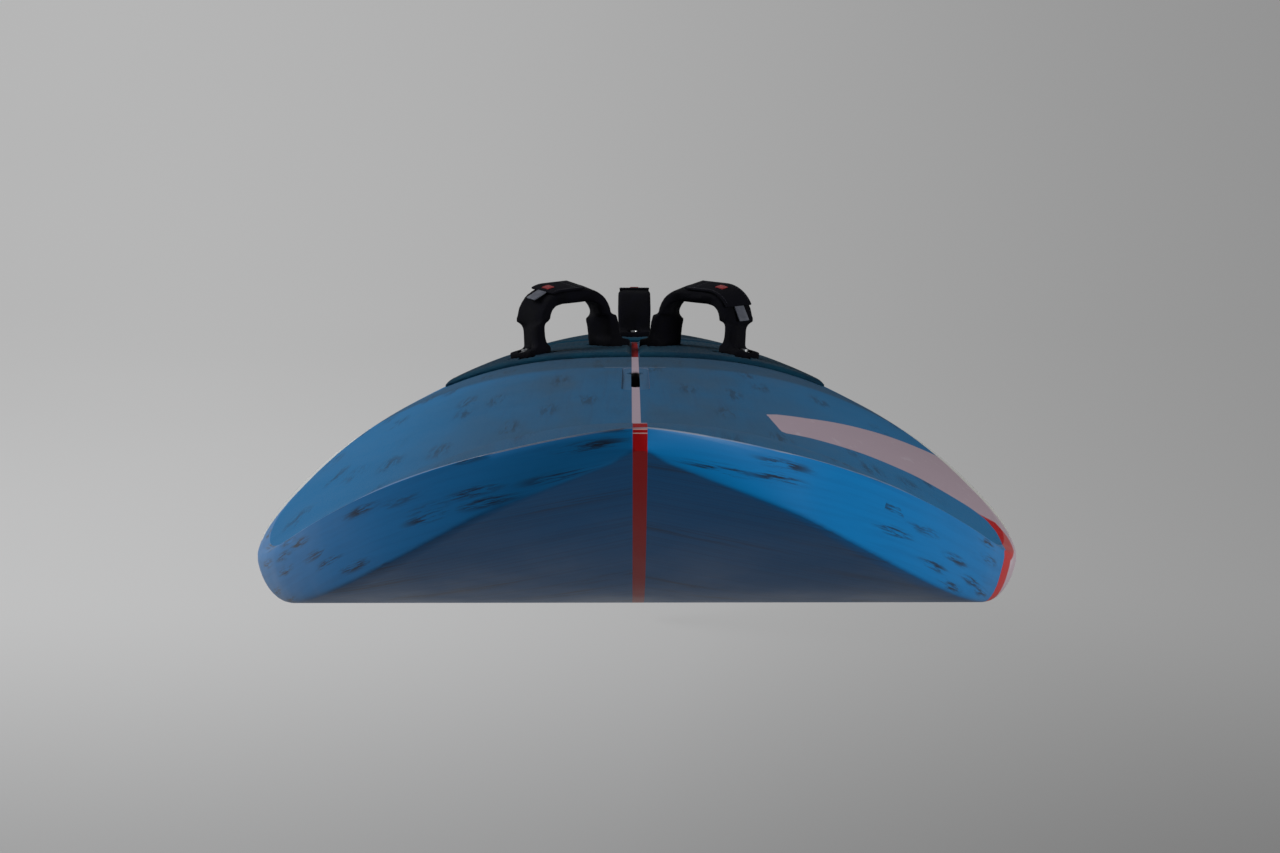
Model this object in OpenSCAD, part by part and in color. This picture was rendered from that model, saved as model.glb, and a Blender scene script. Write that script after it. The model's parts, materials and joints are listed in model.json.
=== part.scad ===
// Windsurf board for flat water and chop: sandwich hull with a mast track, three footstraps,
// deck pads, an air vent and a bolted fin.
// Nose at -Y, tail at +Y, flat bottom on Z = 0, origin under the middle of the length.

/* [Board] */
// Length from nose to tail
board_len = 2300; // [1900:1:2700]
// Greatest width
board_w = 770; // [640:1:900]
// Greatest thickness
board_t = 127; // [105:1:150]
// Distance from the nose to the widest point
wide_at = 850; // [700:1:1000]
// Width across the tail
tail_w = 312; // [260:1:380]
// Height of the nose above the flat bottom
nose_lift = 228; // [120:1:280]
// Length of the curved front of the bottom
rocker_len = 889; // [700:1:1050]
// Thickness of the nose edge
nose_t = 15; // [9:0.5:18]
// Thickness at the tail
tail_t = 52; // [48:1:65]
// Thickness of the sandwich skins
skin_t = 4; // [3:0.5:6]

/* [Mast track] */
// Slot centre, measured from the tail
track_from_tail = 1190; // [1000:1:1300]
// Length of the slot
slot_len = 150; // [110:1:250]
// Width of the slot at the deck
slot_w = 11; // [9:0.5:14]
// Length of the moulded track box
track_len = 226; // [180:1:330]
// Width of the moulded track box
track_w = 34; // [30:1:44]
// Depth of the moulded track box
track_depth = 44; // [36:1:60]

/* [Fin] */
// Fin box centre, measured from the tail
fin_from_tail = 210; // [190:1:300]
// Length of the fin head
fin_head_len = 126; // [110:1:140]
// Thickness of the fin head
fin_head_t = 15; // [13:0.5:18]
// Height of the fin head
fin_head_h = 44; // [35:1:55]
// Depth of the fin under the bottom
fin_depth = 425; // [280:1:480]
// Distance between the two fin bolts
fin_bolt_gap = 70; // [50:1:90]
// Diameter of the fin bolts
fin_bolt_d = 6; // [5:0.5:8]

/* [Footstraps] */
// Front strap centre, measured from the tail
front_from_tail = 800; // [720:1:900]
// Front strap centre, measured from the centreline
front_x = 94; // [90:1:140]
// Angle of the front straps to the board's width
front_turn = 38; // [25:1:45]
// Rear strap centre, measured from the tail
rear_from_tail = 420; // [400:1:480]
// Distance between the two screws of a strap
screw_gap = 160; // [150:1:180]
// Width of the padded strap
strap_w = 60; // [46:1:66]
// Thickness of the padded strap
strap_t = 20; // [16:1:24]
// Centreline height of a front strap
front_h = 91; // [80:1:105]
// Centreline height of the rear strap
rear_h = 74; // [70:1:100]
// Spread of a strap's legs, centre to centre
leg_gap = 124; // [116:1:130]
// Diameter of the strap screws
screw_d = 6; // [5:0.5:7]
// Spacing of the screw positions in a plug strip
plug_pitch = 20; // [16:1:25]
// Webbing width
web_w = 36; // [30:1:40]

/* [Pads and vent] */
// Thickness of the deck pads
pad_t = 7; // [5:0.5:12]
// Front edge of the front pads, measured from the tail
pad_from_tail = 920; // [880:1:960]
// Vent position, measured from the tail
vent_from_tail = 585; // [570:1:600]
// Diameter of the vent screw
vent_d = 10; // [8:0.5:12]

/* [Hidden] */
$fn = 48;
gap = 0.3;                                  // clearance of bonded pieces
run = 0.05;                                 // radial clearance of a thread or a shaft
mid = board_len/2;
stations = 58;
nose_fill = 2.64;  nose_round = 1.34;  tail_fill = 1.94;
rocker_pow = 3.79; full_at = 400; entry_pow = 3.25; taper_at = 1100; taper_pow = 1.7;
crown = 2.71;      crown_pow = 1.11;
tip = 1;                                    // the nose is cut off here to leave a small flat
solid_nose = 45;                            // length of solid laminate at the nose
deck_steps = [0, .012, .04, .09, .16, .25, .37, .5, .65, .82, 1];
track_l = board_len - track_from_tail;
fin_l = board_len - fin_from_tail;
front_l = board_len - front_from_tail;
rear_l = board_len - rear_from_tail;
vent_l = board_len - vent_from_tail;
pad_l = board_len - pad_from_tail;
lift = 2.5;                                 // strap foot above the deck surface
web_t = 3;                                  // webbing thickness
tab_w = web_w + 2;                          // webbing end, pressed flat and wider
web_v = 9;                                  // underside of the webbing at a screw
corner = 38;                                // centreline radius of the strap's corners
lean = 14;                                  // cone angle of a front strap's cover
foot_h = 15;                                // height of a strap's padded foot
foot_out = 14;                              // padded foot beyond the screw
plug_w = 22;
plug_h = 28;
washer_d = 18;
washer_t = 1.6;
head_d = 12;
pocket_d = washer_d + 2;
plug_sink = 0.6;                            // top of a plug strip below the deck surface
flap_t = 3;
flap_w = strap_w - 10;
flap_in = 20;                               // closed end of the flap from the strap's middle
tag_t = 1.2;
vent_head_d = 20;
vent_body_d = 30;
vent_flange_d = 36;
vent_seat = 6;                              // depth of the vent's counterbore
cord_r = 1.2;                               // section radius of the sealing ring

// Outline, rocker, thickness and rail, each a function of the distance from the nose.
function clamp(x, a, b) = min(max(x, a), b);
function half_w(l) = l < wide_at
    ? board_w/2*pow(1 - pow(1 - l/wide_at, nose_fill), 1/nose_round)
    : (tail_w/2 + (board_w - tail_w)/2*(1 - pow((l - wide_at)/(board_len - wide_at), tail_fill)))
      *(1 - 0.3*pow(clamp((l - board_len + 90)/90, 0, 1), 3));
function rocker(l) = l < rocker_len ? nose_lift*pow(1 - l/rocker_len, rocker_pow) : 0;
function thick(l) = l < full_at
    ? nose_t + (board_t - nose_t)*(1 - pow(1 - l/full_at, entry_pow))
    : l < taper_at ? board_t
    : board_t - (board_t - tail_t)*pow((l - taper_at)/(board_len - taper_at), taper_pow);
function blend(l) = let(q = clamp((l - 50)/450, 0, 1)) q*q*(3 - 2*q);
function apex(l) = (nose_t + 0.526*(thick(l) - nose_t))*(1 - blend(l)) + 0.3*thick(l)*blend(l);
function tuck(l) = let(q = clamp((l - 15)/60, 0, 1))
    min(2 + 18*blend(l) + 14*(1 - q*q*(3 - 2*q)), half_w(l)/2);
function deck_z(x, l) = let(a = apex(l))
    rocker(l) + a + (thick(l) - a)*pow(max(0, 1 - pow(abs(x)/half_w(l), crown)), crown_pow);

// Stations: close together at the nose. An inner surface starts behind the solid nose.
function station(i) = let(a = pow(i/stations, 1.6), b = pow(1 - i/stations, 1.25))
    tip + (board_len - tip)*a/(a + b);
function inner(l, s) = solid_nose + s/10 + (l - tip)*(board_len - solid_nose - 2 - 1.1*s)
                       /(board_len - tip);
function deck_half(l, s) = let(a = rocker(l) + apex(l), top = rocker(l) + thick(l) - s)
    [for (f = deck_steps) [(half_w(l) - s)*(1 - f), l - mid,
                           a + (top - a)*pow(1 - pow(1 - f, crown), crown_pow)]];
function base_half(l, s) = let(a = rocker(l) + apex(l), b = rocker(l) + s,
                               k = max(tuck(l) - s/2, 1), e = half_w(l) - s - k)
    concat([for (g = [0, .35, .7, 1]) [e*g, l - mid, b]],
           [for (t = [30, 60, 90]) [e + k*sin(t), l - mid, a - (a - b)*cos(t)]]);
function flipped(p) = [for (q = p) [-q[0], q[1], q[2]]];
function back(p) = [for (i = [len(p)-1:-1:0]) p[i]];
function tail_of(p, n) = [for (i = [n:len(p)-1]) p[i]];
function deck_arc(l, s) = let(h = deck_half(l, s)) concat(flipped(h), tail_of(back(h), 1));
function base_arc(l, s) = let(h = base_half(l, s)) concat(flipped(back(h)), tail_of(h, 1));

function turned(f, flip) = flip ? back(f) : f;
// A curved slab between two grids of points, closed at its sides and at both ends.
module slab(outer, inside, flip = false, shell = false) {
    ni = len(outer); nj = len(outer[0]); o = ni*nj; e = (ni-1)*nj; m = nj - 1;
    skin = [for (i = [0:ni-2]) for (j = [0:nj-2]) let(a = i*nj + j)
            for (f = [[a, a+nj, a+nj+1], [a, a+nj+1, a+1],
                      [o+a+nj+1, o+a+nj, o+a], [o+a+1, o+a+nj+1, o+a]]) f];
    sides = [for (i = [0:ni-2]) let(a = i*nj, b = a + nj)
             for (f = [[b, a, o+a], [b, o+a, o+b],
                       [a+m, b+m, o+b+m], [a+m, o+b+m, o+a+m]]) f];
    ends = shell
        ? [[for (j = [0:m]) j], [0, m, o+m, o], [for (j = [m:-1:0]) o + j],
           [for (j = [m:-1:0]) e + j], [e+m, e, o+e, o+e+m], [for (j = [0:m]) o + e + j]]
        : [for (j = [0:m-1]) for (f = [[j, j+1, o+j+1], [j, o+j+1, o+j],
                                       [e+j+1, e+j, o+e+j], [e+j+1, o+e+j, o+e+j+1]]) f];
    polyhedron(points = concat([for (r = outer) each r], [for (r = inside) each r]),
               faces = [for (f = concat(skin, sides, ends)) turned(f, flip)], convexity = 6);
}
// A solid through closed rings of points.
module loft(rings, flip = false) {
    n = len(rings[0]); k = len(rings);
    walls = [for (i = [0:k-2]) for (j = [0:n-1]) let(a = i*n + j, b = i*n + (j+1)%n)
             for (f = [[a, a+n, b+n], [a, b+n, b]]) f];
    ends = [[for (j = [0:n-1]) j], [for (j = [n-1:-1:0]) (k-1)*n + j]];
    polyhedron(points = [for (r = rings) each r],
               faces = [for (f = concat(walls, ends)) turned(f, flip)], convexity = 4);
}
module box_at(x, l, z, sx, sl, sz) translate([x - sx/2, l - mid - sl/2, z]) cube([sx, sl, sz]);
module stadium(len, wid) {
    translate([0, (len - wid)/2]) circle(d = wid);
    translate([0, (wid - len)/2]) circle(d = wid);
    translate([-wid/2, (wid - len)/2]) square([wid, len - wid]);
}
module prism(l, z, len, wid, h) translate([0, l - mid, z]) linear_extrude(h) stadium(len, wid);

// Frames that lie on the deck: origin on its surface, Z along its normal, X turned to ang.
function normal(x, l) = let(dx = deck_z(x + 1, l) - deck_z(x - 1, l),
                            dl = deck_z(x, l + 1) - deck_z(x, l - 1), v = [-dx/2, -dl/2, 1]) v/norm(v);
module frame_on(p, n, ang) translate(p) rotate([0, acos(n[2]), atan2(n[1], n[0])])
    rotate([0, 0, ang - atan2(n[1], n[0])]) children();
module on_deck(x, l, ang) frame_on([x, l - mid, deck_z(x, l)], normal(x, l), ang) children();
// A strap stands at [x, l, ang]; side -1 is its inner or front foot, +1 its outer or rear foot.
function foot(s, side) = [s[0] + side*screw_gap/2*cos(s[2]), s[1] + side*screw_gap/2*sin(s[2])];
front = [front_x, front_l, -front_turn];
rear = [0, rear_l, 90];
module at_foot(s, side) let(f = foot(s, side)) on_deck(f[0], f[1], s[2]) rotate([0, 0, side < 0 ? 180 : 0])
    children();
module at_strap(s) let(a = foot(s, -1), b = foot(s, 1), n = normal(a[0], a[1]) + normal(b[0], b[1]))
    frame_on([s[0], s[1] - mid, (deck_z(a[0], a[1]) + deck_z(b[0], b[1]))/2], n/norm(n), s[2]) children();
module left_too() { children(); mirror([1, 0, 0]) children(); }
module plug_frame(s, side) at_foot(s, side) rotate([0, 0, -s[2] + (side < 0 ? 180 : 0)]) children();

// Pockets that the built-in pieces sit in, each larger by the given clearance.
module plug_pocket(s, side, n, c) plug_frame(s, side)
    translate([-plug_w/2 - c, -plug_len(n)/2 - c, -plug_h - c])
        cube([plug_w + 2*c, plug_len(n) + 2*c, plug_h + 12]);
function plug_len(n) = (n - 1)*plug_pitch + 22;
front_n = 5;
rear_n = 3;
module plug_pockets(c) {
    left_too() { plug_pocket(front, -1, front_n, c); plug_pocket(front, 1, front_n, c); }
    plug_pocket(rear, -1, rear_n, c);
    plug_pocket(rear, 1, rear_n, c);
}
track_top = deck_z(track_w/2, track_l + track_len/2) - 0.2;
track_block_z = 24;
fin_box_len = fin_head_len + 28;
fin_box_w = fin_head_t + 16;
fin_box_h = deck_z(0, fin_l + fin_box_len/2) - 1;
vent_top = deck_z(vent_flange_d/2, vent_l + vent_flange_d/2) - 0.2;
vent_h = 26;
module deck_cuts(c) {
    plug_pockets(c);
    prism(track_l, track_top - 20, track_len + 2*c, track_w + 2*c, 40);
    translate([0, vent_l - mid, vent_top - 20]) cylinder(d = vent_flange_d + 2*c, h = 40);
    for (i = [-1, 1]) translate([0, fin_l - mid + i*fin_bolt_gap/2, fin_box_h - 20])
        cylinder(d = pocket_d, h = 60);
}

// Hull
module deck_skin() slab([for (i = [0:stations]) deck_arc(station(i), 0)],
    [for (i = [0:stations]) deck_arc(inner(station(i), skin_t), skin_t)], shell = true);
// The deck skin is laid in two lengths with a butt joint, because of the nose's scoop.
module nose_part() translate([-board_w, -mid - 10, -10]) cube([2*board_w, nose_skin_len + 10, 1000]);
nose_skin_len = min(rocker_len*0.725, track_l - track_len/2 - 40);
module deck_shell_nose() color([0.10, 0.36, 0.55]) intersection() {
    deck_skin();
    nose_part();
}
module deck_shell() color([0.10, 0.36, 0.55]) difference() {
    deck_skin();
    nose_part();
    deck_cuts(gap);
}
module bottom_shell() color([0.06, 0.26, 0.42]) difference() {
    slab([for (i = [0:stations]) base_arc(station(i), 0)],
         [for (i = [0:stations]) base_arc(inner(station(i), skin_t), skin_t)], flip = true, shell = true);
    prism(fin_l, -5, fin_box_len + 2*gap, fin_box_w + 2*gap, 20);
}
module foam_core() color([0.93, 0.93, 0.90]) difference() {
    loft([for (i = [0:stations]) let(s = skin_t + gap, l = inner(station(i), s))
          concat(back(deck_arc(l, s)), tail_of(back(tail_of(back(base_arc(l, s)), 1)), 1))]);
    plug_pockets(gap);
    box_at(0, track_l, track_block_z - gap, track_block_w + 2*gap, track_block_len + 2*gap, 200);
    box_at(0, fin_l, -1, fin_block_w + 2*gap, fin_block_len + 2*gap, 200);
    translate([0, vent_l - mid, vent_top - vent_h - gap]) cylinder(d = vent_flange_d + 2*gap, h = 100);
}

// Mast track
track_block_w = track_w + 40;
track_block_len = track_len + 50;
module mast_track_block() color([0.80, 0.72, 0.50]) difference() {
    box_at(0, track_l, track_block_z, track_block_w, track_block_len,
           deck_z(track_block_w/2, track_l + track_block_len/2) - skin_t - 2*gap - track_block_z);
    prism(track_l, track_top - track_depth - gap, track_len + 2*gap, track_w + 2*gap, 200);
}
module mast_track_box() color([0.16, 0.42, 0.60]) difference() {
    prism(track_l, track_top - track_depth, track_len, track_w, track_depth);
    prism(track_l, track_top - 30, slot_len, slot_w, 40);
    box_at(0, track_l, track_top - 30, slot_w + 12, slot_len - slot_w, 23);
    translate([0, track_l - mid + slot_len/2 - slot_w - 6, track_top - 30]) cylinder(d = slot_w + 12, h = 40);
}

// Fin box, fin and its bolts
fin_block_w = fin_box_w + 30;
fin_block_len = fin_box_len + 18;
module fin_box_block() color([0.80, 0.72, 0.50]) difference() {
    box_at(0, fin_l, skin_t + gap, fin_block_w, fin_block_len,
           deck_z(fin_block_w/2, fin_l + fin_block_len/2) - 2*skin_t - 2*gap);
    prism(fin_l, -1, fin_box_len + 2*gap, fin_box_w + 2*gap, 200);
    for (i = [-1, 1]) translate([0, fin_l - mid + i*fin_bolt_gap/2, 0]) cylinder(d = pocket_d, h = 200);
}
fin_seat = fin_box_h - 14;
module fin_box() color([0.10, 0.11, 0.12]) difference() {
    prism(fin_l, 0, fin_box_len, fin_box_w, fin_seat + 6);
    prism(fin_l, -1, fin_head_len + 2*gap, fin_head_t + 2*gap, fin_head_h + 1 + gap);
    for (i = [-1, 1]) translate([0, fin_l - mid + i*fin_bolt_gap/2, 0]) {
        cylinder(d = fin_bolt_d + 0.8, h = 200);
        translate([0, 0, fin_seat]) cylinder(d = pocket_d, h = 100);
    }
}
module fin_bolts() color([0.72, 0.73, 0.74]) for (i = [-1, 1])
    translate([0, fin_l - mid + i*fin_bolt_gap/2, 0]) difference() {
        union() {
            translate([0, 0, fin_head_h - 26]) cylinder(d = fin_bolt_d, h = fin_seat + washer_t - fin_head_h + 28);
            translate([0, 0, fin_seat + washer_t]) cylinder(d = head_d, h = 4);
        }
        translate([0, 0, fin_seat + washer_t + 1.5]) cylinder(d = 5, h = 10, $fn = 6);
    }
module fin_washers() color([0.72, 0.73, 0.74]) for (i = [-1, 1])
    translate([0, fin_l - mid + i*fin_bolt_gap/2, fin_seat]) difference() {
        cylinder(d = washer_d, h = washer_t);
        translate([0, 0, -1]) cylinder(d = fin_bolt_d + 0.4, h = 10);
    }
// Chord, leading edge and thickness of the blade at the depth share t.
function fin_chord(t) = 112 - 44*t - 46*pow(t, 5);
function fin_front(t) = -58 + 48*pow(t, 1.7) + 40*pow(t, 8);
function foil(c, th) = [for (a = [0:15:345]) let(u = (1 - cos(a))/2)
    [(a < 180 ? 1 : -1)*th*2.6*(sqrt(u)*(1 - u)*0.55 + 0.02*(1 - u)*sqrt(u)), c*u]];
fin_steps = [0, .04, .12, .22, .34, .46, .58, .69, .79, .87, .93, .97, 1];
module fin() color([0.05, 0.06, 0.07]) {
    loft([for (t = fin_steps) [for (p = foil(fin_chord(t), 9*(1 - 0.55*t) + 1))
          [p[0], fin_l - mid + fin_front(t) + p[1], -0.4 - t*(fin_depth - 0.4)]]], flip = true);
    translate([0, fin_l - mid, 0]) difference() {
        translate([0, 0, -0.5]) linear_extrude(fin_head_h + 0.5) stadium(fin_head_len, fin_head_t);
        for (i = [-1, 1]) translate([0, i*fin_bolt_gap/2, fin_head_h - 30]) cylinder(d = fin_bolt_d + 2*run, h = 60);
    }
}

// Vent: the screw turns in its housing and lifts the sealing ring with it
module vent_housing() color([0.13, 0.14, 0.15]) translate([0, vent_l - mid, vent_top]) difference() {
    union() {
        translate([0, 0, -vent_h]) cylinder(d = vent_body_d, h = vent_h);
        translate([0, 0, -3]) cylinder(d = vent_flange_d, h = 3);
    }
    translate([0, 0, -vent_seat]) cylinder(d = vent_head_d + 1, h = 20);
    translate([0, 0, -vent_h + 4]) cylinder(d = vent_d + 2*run, h = 40);
    translate([0, 0, -vent_h - 1]) cylinder(d = 3, h = 40);
}
module vent_seal() color([0.04, 0.04, 0.04]) translate([0, vent_l - mid, vent_top - vent_seat])
    translate([0, 0, cord_r + 0.02]) rotate_extrude() translate([vent_d/2 + run + cord_r, 0]) circle(r = cord_r);
module vent_screw() color([0.55, 0.10, 0.10]) translate([0, vent_l - mid, vent_top - vent_seat]) difference() {
    union() {
        translate([0, 0, -14]) cylinder(d = vent_d, h = 15 + 2*cord_r);
        translate([0, 0, 2*cord_r + 0.05]) cylinder(d = vent_head_d, h = 3.2);
    }
    translate([-8, -1, 2*cord_r + 1.6]) cube([16, 2, 5]);
}

// Plug strips
module plug_strip(s, side, n) plug_frame(s, side) difference() {
    translate([-plug_w/2, -plug_len(n)/2, -plug_h]) cube([plug_w, plug_len(n), plug_h - plug_sink]);
    for (i = [0:n-1]) translate([0, (i - (n-1)/2)*plug_pitch, 2 - plug_h]) cylinder(d = screw_d + 2*run, h = 60);
}
module plugs_front_right_outer() color([0.10, 0.11, 0.12]) plug_strip(front, 1, front_n);
module plugs_front_right_inner() color([0.10, 0.11, 0.12]) plug_strip(front, -1, front_n);
module plugs_front_left_outer() mirror([1, 0, 0]) plugs_front_right_outer();
module plugs_front_left_inner() mirror([1, 0, 0]) plugs_front_right_inner();
module plugs_rear_fore() color([0.10, 0.11, 0.12]) plug_strip(rear, -1, rear_n);
module plugs_rear_aft() color([0.10, 0.11, 0.12]) plug_strip(rear, 1, rear_n);

// Deck pads
pad_seat = 0.6;
function pad_edge(l) = min(272, half_w(l) - 72);
function pad_point(p, h) = [p[0], p[1] - mid, deck_z(p[0], p[1]) + pad_seat + h];
function pad_nose(u) = pad_l + 22*pow(u, 3);
front_pad_len = 310;
module front_pad() {
    nx = 9; nl = 9;
    g = [for (i = [0:nl]) [for (j = [0:nx]) let(u = j/nx, l0 = pad_nose(u),
         l = l0 + (pad_l + front_pad_len - l0)*i/nl, x = 6.5 + (pad_edge(l) - 6.5)*u) [x, l]]];
    difference() {
        slab([for (i = [0:nl]) [for (j = [0:nx])
                  pad_point(g[i][j], (i == 0 || i == nl || j == nx) ? pad_t*0.45 : pad_t)]],
             [for (r = g) [for (p = r) pad_point(p, 0)]]);
        for (s = [-1, 1]) foot_pocket(front, s, front_n);
    }
}
module foot_pocket(s, side, n) {
    at_foot(s, side) translate([-foot_out - 24, -strap_w/2 - 3, -6]) cube([2*foot_out + 27, strap_w + 6, 30]);
    plug_frame(s, side) translate([-plug_w/2 - 1.5, -plug_len(n)/2 - 1.5, -6]) cube([plug_w + 3, plug_len(n) + 3, 30]);
}
module pad_front_right() color([0.02, 0.10, 0.14]) front_pad();
module pad_front_left() mirror([1, 0, 0]) pad_front_right();
rear_pad_at = vent_l + vent_flange_d/2 + 8;
rear_pad_end = board_len - 62;
module pad_rear() color([0.02, 0.10, 0.14]) {
    nx = 12; nl = 12;
    g = [for (i = [0:nl]) [for (j = [0:nx]) let(l = rear_pad_at + (rear_pad_end - rear_pad_at)*i/nl,
         x = (min(190, half_w(l) - 62))*(2*j/nx - 1)) [x, l]]];
    difference() {
        slab([for (i = [0:nl]) [for (j = [0:nx])
                  pad_point(g[i][j], (i == 0 || i == nl || j == 0 || j == nx) ? pad_t*0.45 : pad_t)]],
             [for (r = g) [for (p = r) pad_point(p, 0)]]);
        for (s = [-1, 1]) foot_pocket(rear, s, rear_n);
        for (i = [-1, 1]) translate([0, fin_l - mid + i*fin_bolt_gap/2, fin_seat]) cylinder(d = pocket_d + 4, h = 100);
    }
}

// Footstraps. A section is swept up one leg, round a corner, over the top and down again.
module sweep(h, drop) {
    for (s = [0, 1]) mirror([s, 0, 0]) {
        translate([leg_gap/2, 0, drop]) linear_extrude(h - corner - drop) rotate(-90) children();
        translate([leg_gap/2 - corner, 0, h - corner]) rotate([90, 0, 0]) rotate_extrude(angle = 90)
            translate([corner, 0]) rotate(-90) children();
    }
    translate([corner - leg_gap/2, 0, h]) rotate([90, 0, 90]) linear_extrude(leg_gap - 2*corner) children();
}
module rounded(w, t, r) {
    square([w - 2*r, t], center = true);
    square([w, t - 2*r], center = true);
    for (i = [-1, 1], j = [-1, 1]) translate([i*(w/2 - r), j*(t/2 - r)]) circle(r);
}
module foot_block(w, d, h, r) linear_extrude(h) translate([foot_out - d/2, 0]) rounded(d, w, r);
module webbing(s, h, c) {
    at_strap(s) sweep(h, web_v + 2) square([web_w + 2*c, web_t + 2*c], center = true);
    for (i = [-1, 1]) at_foot(s, i) translate([-screw_gap/2 + leg_gap/2 - 3 - c, -tab_w/2 - c, web_v - c])
        cube([screw_gap/2 - leg_gap/2 + foot_out + 2*c, tab_w + 2*c, web_t + 2*c]);
}
module strap_web(s, h) difference() {
    webbing(s, h, 0);
    for (i = [-1, 1]) at_foot(s, i) cylinder(d = screw_d + 0.4, h = 40);
}
module strap_cover(s, h, tilt) difference() {
    union() {
        at_strap(s) sweep(h, lift + 4) rotate(tilt) rounded(strap_w, strap_t, 7);
        for (i = [-1, 1]) at_foot(s, i) translate([0, 0, lift]) foot_block(strap_w, 46, foot_h, 10);
    }
    webbing(s, h, gap);
    for (i = [-1, 1]) at_foot(s, i) cylinder(d = pocket_d, h = 60);
}
module strap_plates(s) for (i = [-1, 1]) at_foot(s, i) difference() {
    union() {
        translate([-plug_w/2, -16, gap]) cube([plug_w, 32, lift - 2*gap]);
        translate([0, 0, -plug_sink]) cylinder(d = washer_d, h = web_v + plug_sink);
    }
    translate([0, 0, -2]) cylinder(d = screw_d + 0.4, h = 40);
}
module strap_washers(s) for (i = [-1, 1]) at_foot(s, i) translate([0, 0, web_v + web_t]) difference() {
    cylinder(d = washer_d, h = washer_t);
    translate([0, 0, -1]) cylinder(d = screw_d + 0.4, h = 5);
}
module strap_screws(s) for (i = [-1, 1]) at_foot(s, i) difference() {
    union() {
        translate([0, 0, 6 - plug_h]) cylinder(d = screw_d, h = plug_h + web_v + web_t + washer_t - 5);
        translate([0, 0, web_v + web_t + washer_t]) cylinder(d = head_d, h = 3.6);
    }
    translate([-4, -0.6, web_v + web_t + washer_t + 1.8]) cube([8, 1.2, 4]);
    translate([-0.6, -4, web_v + web_t + washer_t + 1.8]) cube([1.2, 8, 4]);
}
// The closing flap lies on top of the cover, round its outer corner by the angle wrap.
module over_top(s, h, from, wrap, v, t, w, tilt) at_strap(s) difference() {
    union() {
        translate([from, 0, h]) rotate([90, 0, 90]) linear_extrude(leg_gap/2 - corner - from)
            rotate(tilt) translate([-w/2, v]) square([w, t]);
        translate([leg_gap/2 - corner, 0, h - corner]) rotate([90, 0, 0]) rotate_extrude(angle = 90)
            translate([corner, 0]) rotate(-90) rotate(tilt) translate([-w/2, v]) square([w, t]);
    }
    translate([leg_gap/2 - corner, 0, h - corner]) rotate([0, wrap, 0]) translate([0, -100, -50])
        cube([200, 200, 200]);
    for (i = [-1, 1]) translate([from, i*w/2, h + v]) rotate([0, 0, 45]) cube([7, 7, 30], center = true);
}
flap_v = strap_t/2 + 0.4;
module strap_flap(s, h, wrap, tilt) over_top(s, h, -flap_in, wrap, flap_v, flap_t, flap_w, tilt);
module strap_tab(s, h, wrap, tilt) at_strap(s) translate([leg_gap/2 - corner, 0, h - corner])
    rotate([0, wrap, 0]) translate([0, 0, corner]) rotate([90, 0, 90]) linear_extrude(tab_len)
        rotate(tilt) translate([-9, flap_v + 0.5]) square([18, flap_t - 1]);
tab_len = 24;
module strap_tag(s, h, tilt) at_strap(s) translate([leg_gap/2 - corner, 0, h - corner])
    rotate([90, 0, 0]) rotate([0, 0, 74]) rotate_extrude(angle = 14) translate([corner, 0]) rotate(-90)
        rotate(tilt) translate([-7, flap_v + flap_t + 0.1]) square([14, tag_t]);
black = [0.035, 0.035, 0.05];
steel = [0.72, 0.73, 0.74];
wrap_left = 22; wrap_right = 58; wrap_rear = 58;
module strap_right_cover() color(black) strap_cover(front, front_h, lean);
module strap_right_webbing() color([0.2, 0.2, 0.2]) strap_web(front, front_h);
module strap_right_flap() color([0.06, 0.06, 0.08]) strap_flap(front, front_h, wrap_right, lean);
module strap_right_tab() color([0.5, 0.52, 0.56]) strap_tab(front, front_h, wrap_right, lean);
module strap_right_tag() color([0.7, 0.05, 0.05]) strap_tag(front, front_h, lean);
module strap_right_plates() color([0.12, 0.12, 0.13]) strap_plates(front);
module strap_right_washers() color(steel) strap_washers(front);
module strap_right_screws() color(steel) strap_screws(front);
module strap_left_cover() mirror([1, 0, 0]) strap_right_cover();
module strap_left_webbing() mirror([1, 0, 0]) strap_right_webbing();
module strap_left_flap() color([0.06, 0.06, 0.08]) mirror([1, 0, 0]) strap_flap(front, front_h, wrap_left, lean);
module strap_left_tab() color([0.5, 0.52, 0.56]) mirror([1, 0, 0]) strap_tab(front, front_h, wrap_left, lean);
module strap_left_tag() mirror([1, 0, 0]) strap_right_tag();
module strap_left_plates() mirror([1, 0, 0]) strap_right_plates();
module strap_left_washers() mirror([1, 0, 0]) strap_right_washers();
module strap_left_screws() mirror([1, 0, 0]) strap_right_screws();
module strap_rear_cover() color(black) strap_cover(rear, rear_h, 0);
module strap_rear_webbing() color([0.2, 0.2, 0.2]) strap_web(rear, rear_h);
module strap_rear_flap() color([0.06, 0.06, 0.08]) strap_flap(rear, rear_h, wrap_rear, 0);
module strap_rear_tab() color([0.5, 0.52, 0.56]) strap_tab(rear, rear_h, wrap_rear, 0);
module strap_rear_tag() color([0.7, 0.05, 0.05]) strap_tag(rear, rear_h, 0);
module strap_rear_plates() color([0.12, 0.12, 0.13]) strap_plates(rear);
module strap_rear_washers() color(steel) strap_washers(rear);
module strap_rear_screws() color(steel) strap_screws(rear);

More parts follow.
